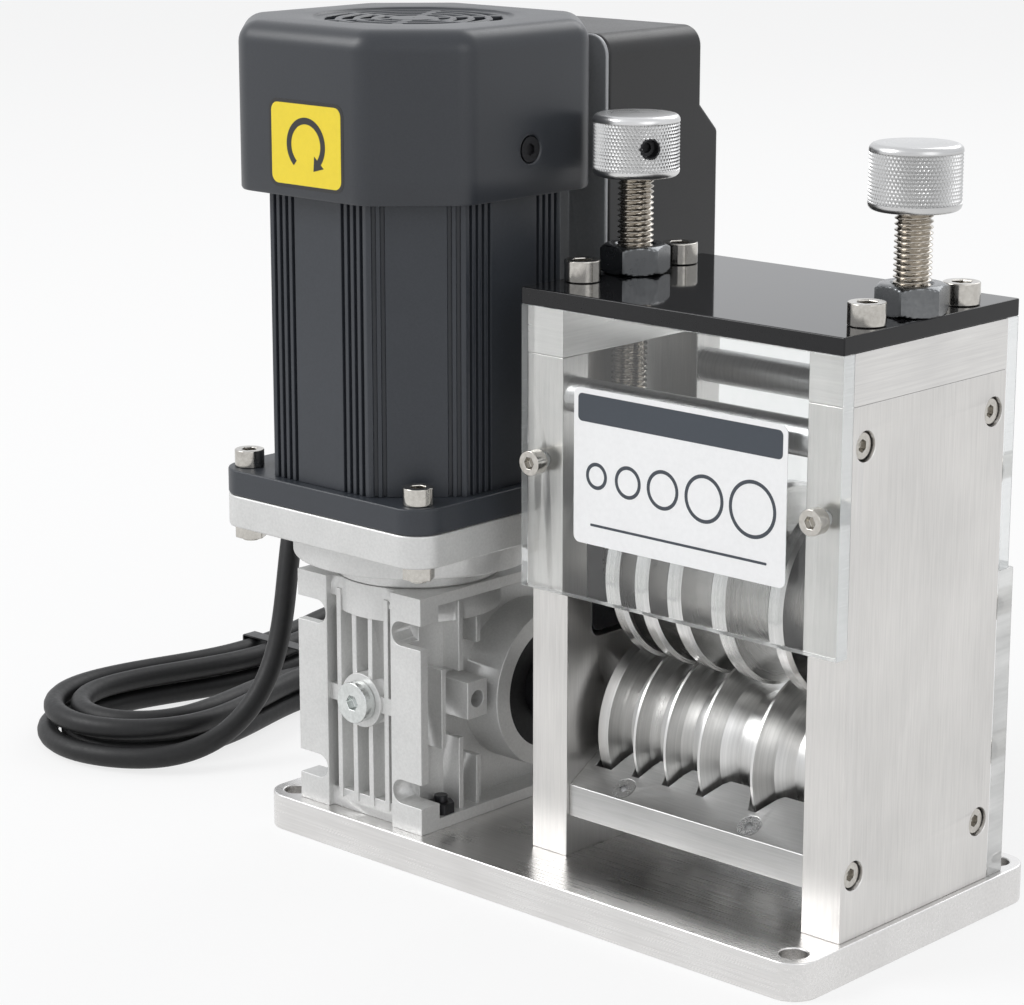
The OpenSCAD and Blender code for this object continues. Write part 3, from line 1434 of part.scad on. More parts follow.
// Adjusting screw: its tip sits in the block, its thread runs in the cap block
module adjusting_screw(i) {
    color(nickel) {
        z_rod(screw_d / 2, block_z1, knob_z1 - knob_cap, screw_x[i], 0);
        z_rod(screw_tip_d / 2, block_z1 - screw_tip_l, block_z1 + cut, screw_x[i], 0);
    }
}

module left_adjusting_screw() {
    adjusting_screw(0);
}

module right_adjusting_screw() {
    adjusting_screw(1);
}

// Knob with rounded edges and a hole for its set screw
module knob(i) {
    r = knob_d / 2;
    color(aluminium) translate([screw_x[i], 0, knob_z0]) difference() {
        rotate_extrude() difference() {
            union() {
                translate([0, knob_edge]) square([r, knob_h - 2 * knob_edge]);
                square([r - knob_edge, knob_h]);
                for (z = [knob_edge, knob_h - knob_edge]) translate([r - knob_edge, z]) circle(r = knob_edge);
            }
            translate([-r, -cut]) square([r, knob_h + 2 * cut]);
        }
        translate([0, 0, -cut]) cylinder(d = screw_d + 2 * seat, h = knob_h - knob_cap + cut);
        rotate([90, 0, knob_hole_turn[i]]) translate([0, knob_h / 2, 0])
            cylinder(d = knob_hole_d, h = r + cut);
    }
}

module left_knob() {
    knob(0);
}

module right_knob() {
    knob(1);
}

module lock_nut(i) {
    color(zinc) translate([screw_x[i], 0, top_z]) rotate(nut_turn) hex_nut(nut_af, screw_d + 2 * run, nut_h);
}

module left_lock_nut() {
    lock_nut(0);
}

module right_lock_nut() {
    lock_nut(1);
}

base_plate();
left_side_plate();
right_side_plate();
cap_blocks();
frame_screws();
top_plate();
top_plate_screws();
front_guard();
rear_guard();
inlet_block();
guard_screws();
comb_bar();
comb_screws();
tie_rods();
side_plate_screws();
fixed_bearings();
gearbox_housing();
gearbox_cover();
m4_screws();
oil_plug();
output_seals();
gearbox_studs();
adapter_flange();
flange_screws();
motor_flange();
motor_body();
stator_core();
windings();
rear_shield();
fan_cover();
fan_cover_screws();
box_tray();
box_cover();
capacitor();
switch_bezel();
strain_relief();
cord();
cord_hank();
cord_tie();
plug();
lower_roller();
drive_shaft();
drive_key();
output_sleeve();
worm_wheel();
rotor();
worm();
cooling_fan();
bearing_blocks();
upper_bearings();
cutter_shaft();
cutter_discs();
disc_spacers();
left_adjusting_screw();
left_knob();
right_adjusting_screw();
right_knob();
left_lock_nut();
right_lock_nut();
switch_rocker();
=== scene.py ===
import json
import math
import bmesh
import bpy
import numpy as np
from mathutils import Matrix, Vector


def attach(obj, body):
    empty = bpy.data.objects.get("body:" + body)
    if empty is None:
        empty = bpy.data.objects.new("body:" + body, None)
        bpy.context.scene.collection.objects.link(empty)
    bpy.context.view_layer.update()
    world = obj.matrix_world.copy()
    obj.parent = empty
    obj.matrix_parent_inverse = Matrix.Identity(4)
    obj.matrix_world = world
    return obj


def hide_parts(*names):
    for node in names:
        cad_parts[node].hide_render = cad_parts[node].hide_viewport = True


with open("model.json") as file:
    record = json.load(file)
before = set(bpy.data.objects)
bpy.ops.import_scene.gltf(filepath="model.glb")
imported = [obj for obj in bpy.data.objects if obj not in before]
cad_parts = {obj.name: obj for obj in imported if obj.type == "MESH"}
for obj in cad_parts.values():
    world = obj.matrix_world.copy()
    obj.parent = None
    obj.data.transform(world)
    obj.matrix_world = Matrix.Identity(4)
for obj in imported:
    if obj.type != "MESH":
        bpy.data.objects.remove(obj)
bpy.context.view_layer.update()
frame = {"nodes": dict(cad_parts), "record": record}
nodes = frame["nodes"]
bodyOf = {n: b for b, group in frame["record"]["behaviour"]["bodies"].items() for n in group}
mm = 0.001
print("frame loaded with", len(nodes), "nodes")

# camera at the photograph's angle
viewpoint = {
    "place": (0.5385, -0.6298, 0.3119), "azimuth": 42.98, "elevation": 13.965,
    "lens": 106.875, "sensor": 36, "clip": (0.01, 60),
}


def makeCamera(spec):
    a, e = math.radians(spec["azimuth"]), math.radians(spec["elevation"])
    back = Vector((math.sin(a) * math.cos(e), -math.cos(a) * math.cos(e), math.sin(e)))
    data = bpy.data.cameras.new("camera")
    data.lens = spec["lens"]
    data.sensor_width = spec["sensor"]
    data.clip_start, data.clip_end = spec["clip"]
    cam = bpy.data.objects.new("camera", data)
    cam.location = spec["place"]
    cam.rotation_mode = "QUATERNION"
    cam.rotation_quaternion = back.to_track_quat("Z", "Y")
    bpy.context.collection.objects.link(cam)
    bpy.context.scene.camera = cam


makeCamera(viewpoint)

# points closer than merge (metres) become one, and folds over crease (degrees) stay sharp
surfaceSpec = {"merge": 2e-6, "crease": 35}


# a grid of points (rows, columns, 3) in millimetres becomes a quad mesh in metres;
# wrap joins the last column to the first, capStart and capEnd close the end rows,
# uv holds each row's place and the step per column, and drop marks cells left open
def gridPiece(name, points, body, wrap=True, capStart=False, capEnd=False, uv=None, drop=None):
    rows, cols = points.shape[:2]
    r, c = np.meshgrid(np.arange(rows - 1), np.arange(cols if wrap else cols - 1), indexing="ij")
    nxt = (c + 1) % cols
    quads = np.stack([r * cols + c, r * cols + nxt, (r + 1) * cols + nxt, (r + 1) * cols + c], axis=-1)
    cells = np.stack([r, c], axis=-1).reshape(-1, 2)
    quads = quads.reshape(-1, 4)
    if drop is not None:
        keep = ~drop[cells[:, 0], cells[:, 1]]
        quads, cells = quads[keep], cells[keep]
    faces = quads.tolist()
    if capStart:
        faces.append(list(range(cols))[::-1])
    if capEnd:
        faces.append(list(range((rows - 1) * cols, rows * cols)))
    mesh = bpy.data.meshes.new(name)
    mesh.from_pydata((points.reshape(-1, 3) * mm).tolist(), [], faces)
    if uv is not None:
        layer = mesh.uv_layers.new(name="uv")
        flat = np.zeros((len(mesh.loops), 2), dtype=np.float32)
        corner = np.array([[0, 0], [0, 1], [1, 1], [1, 0]])
        rc = cells[:, None, :] + corner[None, :, :]
        flat[: len(quads) * 4, 0] = uv[0][rc[:, :, 0].reshape(-1)]
        flat[: len(quads) * 4, 1] = rc[:, :, 1].reshape(-1) * uv[1]
        layer.data.foreach_set("uv", flat.reshape(-1))
    obj = bpy.data.objects.new(name, mesh)
    bpy.context.collection.objects.link(obj)
    closeSurface(mesh)
    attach(obj, body)
    return obj


def closeSurface(mesh):
    bm = bmesh.new()
    bm.from_mesh(mesh)
    bmesh.ops.remove_doubles(bm, verts=bm.verts, dist=surfaceSpec["merge"])
    bmesh.ops.recalc_face_normals(bm, faces=bm.faces)
    bm.to_mesh(mesh)
    bm.free()
    mesh.polygons.foreach_set("use_smooth", np.full(len(mesh.polygons), True))
    mesh.set_sharp_from_angle(angle=math.radians(surfaceSpec["crease"]))


# softened copies: angles in degrees, merge in metres; pierced nodes have large flat faces with holes,
# thinned ones lose so many millimetres on each side, and their sideways faces get a colour of their own:
# painted sheen of a bright clear edge on the guards, and light and dark streaks on the inlet block
softSpec = {
    "segments": 2, "corner": 38, "crease": 50, "flat": 0.6, "merge": 5e-6, "sideways": 0.4,
    "pierced": {"cap_blocks", "gearbox_housing", "gearbox_cover", "box_cover"},
    "thinned": {"front_guard": 0.06, "rear_guard": 0.06, "inlet_block": 0.06},
    "edgeTone": {"front_guard": "paleEdgeSheen", "rear_guard": "paleEdgeSheen", "inlet_block": "inletEdge"},
}


# a CAD node's mesh, merged and with its flat faces joined, and its sharp edges rounded: by a Bevel modifier,
# or on a pierced node in the mesh itself, outward edges only, before the flat faces are joined
def softCopy(node, width, look, s):
    corner = math.radians(s["corner"])
    pierced, thinned = node in s["pierced"], node in s["thinned"]
    mesh = nodes[node].data.copy()
    mesh.name = node + "_soft"
    bm = bmesh.new()
    bm.from_mesh(mesh)
    if thinned:  # clear faces then share no plane with metal
        depth = [v.co.y for v in bm.verts]
        mid, half = (max(depth) + min(depth)) / 2, (max(depth) - min(depth)) / 2
        for v in bm.verts:
            v.co.y = mid + (v.co.y - mid) * (1 - s["thinned"][node] * mm / half)
    bmesh.ops.remove_doubles(bm, verts=bm.verts, dist=s["merge"])
    if pierced:
        outward = [e for e in bm.edges if e.is_convex and e.calc_face_angle(0) > corner]
        bmesh.ops.bevel(bm, geom=outward, offset=width * mm, offset_type="OFFSET", segments=s["segments"],
                        profile=0.5, affect="EDGES", clamp_overlap=False, loop_slide=False)
    bmesh.ops.dissolve_limit(bm, angle_limit=math.radians(s["flat"]), verts=bm.verts, edges=bm.edges)
    bm.to_mesh(mesh)
    bm.free()
    mesh.materials.clear()
    mesh.polygons.foreach_set("use_smooth", np.full(len(mesh.polygons), True))
    mesh.set_sharp_from_angle(angle=math.radians(s["crease"]) if pierced else corner)
    obj = bpy.data.objects.new(node + "_soft", mesh)
    bpy.context.collection.objects.link(obj)
    if pierced:
        flats = obj.modifiers.new("flats", "WEIGHTED_NORMAL")
        flats.keep_sharp = True
    else:
        bevel = obj.modifiers.new("edges", "BEVEL")
        bevel.width = width * mm
        bevel.segments = s["segments"]
        bevel.limit_method = "ANGLE"
        bevel.angle_limit = corner
        bevel.use_clamp_overlap = False
        bevel.loop_slide = False
        bevel.harden_normals = True
    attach(obj, bodyOf[node])
    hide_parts(node)
    mesh.materials.append(looks[look])
    # sideways faces of thinned clear sheets take a second colour, on the guards a painted sheen of a bright
    # clear edge
    if thinned:
        mesh.materials.append(looks[s["edgeTone"][node]])
        normals = np.empty(len(mesh.polygons) * 3, dtype=np.float32)
        mesh.polygons.foreach_get("normal", normals)
        edgeTone = np.abs(normals.reshape(-1, 3)[:, 1]) < s["sideways"]
        mesh.polygons.foreach_set("material_index", edgeTone.astype(np.int32))


# cord: route points in millimetres, then the hank's loops, as in the solids; folds are the places
# round a loop where its near run, far fold, far run and near fold begin, and slack, coiled, slackEnd
# and slackFade count points along the path
cordSpec = {
    "diameter": 6.8, "sides": 16, "hankX": -189, "near": -22, "far": 110, "innerR": 19.8, "step": 8.4,
    "draw": 12, "waist": 0.45, "turn": 1.75, "end": 3 + 8.5 / 24, "low": 4.0, "layer": 7.5,
    "folds": (3.5 / 24, 8.5 / 24, 15.5 / 24, 20.5 / 24), "perLoop": 96, "perSpan": 8, "spacing": 2.0,
    "tail": (2, 5, 9, 15, 26), "slack": 5, "coiled": 3, "slackEnd": 170, "slackFade": 40, "pathEvery": 8,
    "route": [(-124.4, 42, 135), (-131.2, 42, 135), (-142, 40, 131), (-151, 35, 121), (-156, 27, 107),
              (-156, 19, 92), (-154, 12, 77), (-151, 6, 62), (-148, 1, 47), (-146, -4, 33), (-146, -12, 20),
              (-147, -23, 11), (-151, -35, 6), (-159, -46, 4.4), (-171, -53, 4.3), (-182.2, -56.5, 4.0)],
}


# loop position u to a point: two runs drawn in at the waist, two round folds, climbing along one run
def hankPoints(u, s):
    a, b, c, d = s["folds"]
    f = u - np.floor(u)
    r = s["innerR"] + s["step"] * np.abs(u - s["turn"])
    climb = np.clip((u - 1 - c) / (d - c), 0, 1)
    z = s["low"] + s["layer"] * climb * climb * (3 - 2 * climb)
    t = np.where(f < b, (f - a) / (b - a), (d - f) / (d - c))
    w = s["waist"]
    pinch = np.where(t < w, 1 - np.cos(np.pi * t / w), 1 - np.cos(np.pi * (1 - t) / (1 - w))) / 2
    side = r - s["draw"] * pinch
    turns = [270 - 90 * f / a, 180 + 0 * f, 180 - 180 * (f - b) / (c - b), 0 * f]
    turnA = np.radians(np.select([f < a, f < b, f < c, f < d], turns, -90 * (f - d) / (1 - d)))
    onRun = ((f >= a) & (f < b)) | ((f >= c) & (f < d))
    sign = np.where(f < b, -1, 1)
    length = s["far"] - s["near"]
    base = np.where((f >= b) & (f < c), s["far"], s["near"])
    x = np.where(onRun, s["hankX"] + sign * side, s["hankX"] + r * np.cos(turnA))
    y = np.where(onRun, s["near"] + t * length, base + r * np.sin(turnA))
    return np.stack([x, y, z], axis=-1)


# smooth curve through points: Catmull-Rom pieces, each a cubic between two neighbours
def smoothThrough(points, steps):
    p = np.vstack([2 * points[0] - points[1], points, 2 * points[-1] - points[-2]])
    t = np.linspace(0, 1, steps, endpoint=False)[None, :, None]
    p0, p1, p2, p3 = (p[i:len(p) - 3 + i, None, :] for i in range(4))
    square, cube = 2 * p0 - 5 * p1 + 4 * p2 - p3, 3 * p1 - p0 - 3 * p2 + p3
    q = 0.5 * (2 * p1 + (p2 - p0) * t + square * t ** 2 + cube * t ** 3)
    return np.vstack([q.reshape(-1, 3), points[-1:]])


# a circle carried along a path, square to it, with the least turning between rings
def sweepCircle(path, radius, sides):
    way = np.gradient(path, axis=0)
    way /= np.linalg.norm(way, axis=1, keepdims=True)
    side = np.cross(way[0], (0, 0.6, -0.8))  # any direction that isn't along the path
    normals = []
    for t in way:
        side = side - t * np.dot(side, t)
        side = side / np.linalg.norm(side)
        normals.append(side)
    normals = np.array(normals)
    other = np.cross(way, normals)
    a = np.linspace(0, 2 * np.pi, sides, endpoint=False)
    ring = np.cos(a)[None, :, None] * normals[:, None, :] + np.sin(a)[None, :, None] * other[:, None, :]
    return path[:, None, :] + radius * ring


# points spaced evenly along a path, so many millimetres apart
def spaceEvenly(path, step):
    along = np.concatenate([[0], np.cumsum(np.linalg.norm(np.diff(path, axis=0), axis=1))])
    places = np.linspace(0, along[-1], int(round(along[-1] / step)) + 1)
    return np.stack([np.interp(places, along, path[:, k]) for k in range(3)], axis=1)


# each point becomes a bell-weighted mean of its neighbours, with the ends held
def relaxPath(path, spread):
    n = 4 * spread  # the bell is near zero there
    k = np.arange(-n, n + 1)
    bell = np.exp(-(k ** 2) / (2 * spread ** 2))
    longer = np.vstack([2 * path[0] - path[1:n + 1][::-1], path, 2 * path[-1] - path[-n - 1:-1][::-1]])
    return np.stack([np.convolve(longer[:, c], bell / bell.sum(), "valid") for c in range(3)], axis=1)


# the lead hangs slacker than the hank's loops, and one eases into the other
def makeCord(s):
    loops = hankPoints(np.linspace(0, s["end"], int(s["end"] * s["perLoop"])), s)
    tail = np.array([loops[-1] + (0, k, 0) for k in s["tail"]])
    lead = smoothThrough(np.vstack([np.array(s["route"], dtype=float), loops[:1]]), s["perSpan"])
    path = spaceEvenly(np.vstack([lead, loops[1:], tail]), s["spacing"])
    slack = np.clip((s["slackEnd"] - np.arange(len(path))) / s["slackFade"], 0, 1)[:, None]
    path = slack * relaxPath(path, s["slack"]) + (1 - slack) * relaxPath(path, s["coiled"])
    steps = np.linalg.norm(np.diff(path, axis=0), axis=1)
    along = np.concatenate([[0], np.cumsum(steps)])
    rings = sweepCircle(path, s["diameter"] / 2, s["sides"])
    uv = (along / 1000, 1 / s["sides"])
    flex = gridPiece("mains_cord", rings, "frame", capStart=True, capEnd=True, uv=uv)
    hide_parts("cord", "cord_hank")
    print("cord length", round(along[-1] / 1000, 3), "m")
    return flex, path * mm, along[-1] * mm


flex, cordPath, cordLength = makeCord(cordSpec)


# shader groups: each gives a value or mask that changes over the surface
def newGroup(name, inputs, outputs):
    tree = bpy.data.node_groups.new(name, "ShaderNodeTree")
    for label, value in inputs.items():
        kind = "NodeSocketFloat" if isinstance(value, float) else "NodeSocketVector"
        sock = tree.interface.new_socket(name=label, in_out="INPUT", socket_type=kind)
        if value is not None:
            sock.default_value = value
    for label in outputs:
        tree.interface.new_socket(name=label, in_out="OUTPUT", socket_type="NodeSocketFloat")
    return tree, tree.nodes.new("NodeGroupInput"), tree.nodes.new("NodeGroupOutput")


def mathNode(tree, op, a, b=None):
    n = tree.nodes.new("ShaderNodeMath")
    n.operation = op
    for i, v in enumerate((a, b)):
        if v is None:
            continue
        if isinstance(v, (int, float)):
            n.inputs[i].default_value = v
        else:
            tree.links.new(v, n.inputs[i])
    return n.outputs[0]


def noiseNode(tree, vector, scale, detail, rough):
    n = tree.nodes.new("ShaderNodeTexNoise")
    n.inputs["Detail"].default_value = detail
    n.inputs["Roughness"].default_value = rough
    tree.links.new(vector, n.inputs["Vector"])
    if isinstance(scale, float):
        n.inputs["Scale"].default_value = scale
    else:
        tree.links.new(scale, n.inputs["Scale"])
    return n.outputs["Fac"]


# brushed lines: noise on coordinates squeezed along the brushing direction
def brushedLines():
    inputs = {"Vector": None, "Stretch": (1, 1, 1), "Scale": 900.0}
    tree, gin, gout = newGroup("brushedLines", inputs, ("Lines", "Patches"))
    squeeze = tree.nodes.new("ShaderNodeVectorMath")
    squeeze.operation = "MULTIPLY"
    tree.links.new(gin.outputs["Vector"], squeeze.inputs[0])
    tree.links.new(gin.outputs["Stretch"], squeeze.inputs[1])
    fine = noiseNode(tree, squeeze.outputs[0], gin.outputs["Scale"], detail=4.0, rough=0.6)
    patch = noiseNode(tree, gin.outputs["Vector"], 38.0, detail=2.0, rough=0.5)
    tree.links.new(fine, gout.inputs["Lines"])
    tree.links.new(patch, gout.inputs["Patches"])
    return tree


# turned rings: noise over the place along the X axis and the distance from it
def turnedRings():
    inputs = {"Vector": None, "Scale": 1400.0}
    tree, gin, gout = newGroup("turnedRings", inputs, ("Rings", "Patches"))
    sep = tree.nodes.new("ShaderNodeSeparateXYZ")
    tree.links.new(gin.outputs["Vector"], sep.inputs[0])
    ySquare = mathNode(tree, "MULTIPLY", sep.outputs["Y"], sep.outputs["Y"])
    zSquare = mathNode(tree, "MULTIPLY", sep.outputs["Z"], sep.outputs["Z"])
    comb = tree.nodes.new("ShaderNodeCombineXYZ")
    tree.links.new(sep.outputs["X"], comb.inputs[0])
    tree.links.new(mathNode(tree, "SQRT", mathNode(tree, "ADD", ySquare, zSquare)), comb.inputs[1])
    rings = noiseNode(tree, comb.outputs[0], gin.outputs["Scale"], detail=3.0, rough=0.6)
    patch = noiseNode(tree, gin.outputs["Vector"], 60.0, detail=2.0, rough=0.5)
    tree.links.new(rings, gout.inputs["Rings"])
    tree.links.new(patch, gout.inputs["Patches"])
    return tree


# grain: fine pebbled height and a slow cloud for colour and gloss
def grainField():
    inputs = {"Vector": None, "Scale": 900.0, "Cloud Scale": 30.0}
    tree, gin, gout = newGroup("grainField", inputs, ("Grain", "Cloud"))
    grain = noiseNode(tree, gin.outputs["Vector"], gin.outputs["Scale"], detail=3.0, rough=0.6)
    cloud = noiseNode(tree, gin.outputs["Vector"], gin.outputs["Cloud Scale"], detail=3.0, rough=0.55)
    tree.links.new(grain, gout.inputs["Grain"])
    tree.links.new(cloud, gout.inputs["Cloud"])
    return tree


groups = {"lines": brushedLines(), "rings": turnedRings(), "grain": grainField()}
print("shader groups built")


def placeGroup(tree, key, vector, values):
    g = tree.nodes.new("ShaderNodeGroup")
    g.node_tree = groups[key]
    tree.links.new(vector, g.inputs["Vector"])
    for k, v in values.items():
        g.inputs[k].default_value = v
    return g


noiseSpan = (0.3, 0.7)  # where most of the noise lies


# noiseSpan stretched to the range asked for
def mapRange(tree, value, low, high):
    n = tree.nodes.new("ShaderNodeMapRange")
    n.inputs["From Min"].default_value = noiseSpan[0]
    n.inputs["From Max"].default_value = noiseSpan[1]
    n.inputs["To Min"].default_value = low
    n.inputs["To Max"].default_value = high
    tree.links.new(value, n.inputs["Value"])
    return n.outputs["Result"]


def mixColour(tree, factor, a, b):
    n = tree.nodes.new("ShaderNodeMix")
    n.data_type = "RGBA"
    tree.links.new(factor, n.inputs["Factor"])
    n.inputs["A"].default_value = (*a, 1)
    n.inputs["B"].default_value = (*b, 1)
    return n.outputs["Result"]


def newLook(name):
    mat = bpy.data.materials.new(name)
    mat.use_nodes = True
    tree = mat.node_tree
    return mat, tree, tree.nodes["Principled BSDF"]


patternShare = {"fine": 0.55, "slow": 0.45}


# one finish: a pattern group drives colour, roughness and a small bump, whose depth is in metres;
# centre (millimetres) and turn (degrees) place the pattern, and the rest are plain sockets
def finish(name, colour, dark, rough, group, values, metallic=0.0, bump=0.15, depth=0.00004,
           centre=None, turn=None, **sockets):
    mat, tree, bsdf = newLook(name)
    vector = tree.nodes.new("ShaderNodeTexCoord").outputs["Object"]
    if centre is not None:
        place = tree.nodes.new("ShaderNodeMapping")
        place.vector_type = "TEXTURE"
        place.inputs["Location"].default_value = [v * mm for v in centre]
        place.inputs["Rotation"].default_value = [math.radians(v) for v in (turn or (0, 0, 0))]
        tree.links.new(vector, place.inputs["Vector"])
        vector = place.outputs["Vector"]
    fine, slow = placeGroup(tree, group, vector, values).outputs[:2]
    finePart = mathNode(tree, "MULTIPLY", fine, patternShare["fine"])
    both = mathNode(tree, "ADD", finePart, mathNode(tree, "MULTIPLY", slow, patternShare["slow"]))
    tree.links.new(mixColour(tree, mapRange(tree, both, 0.0, 1.0), dark, colour), bsdf.inputs["Base Color"])
    tree.links.new(mapRange(tree, both, rough[1], rough[0]), bsdf.inputs["Roughness"])
    height = tree.nodes.new("ShaderNodeBump")
    height.inputs["Strength"].default_value = bump
    height.inputs["Distance"].default_value = depth
    tree.links.new(fine, height.inputs["Height"])
    tree.links.new(height.outputs["Normal"], bsdf.inputs["Normal"])
    bsdf.inputs["Metallic"].default_value = metallic
    for k, v in sockets.items():
        bsdf.inputs[k.replace("_", " ")].default_value = v
    return mat


# axes of the turned pieces, in millimetres
rollerAxis, cutterAxis = (0, 0, 45.7), (0, 0, 93.0)
screwX = {"left": -2.0, "right": 91.1}
knobMid = 205

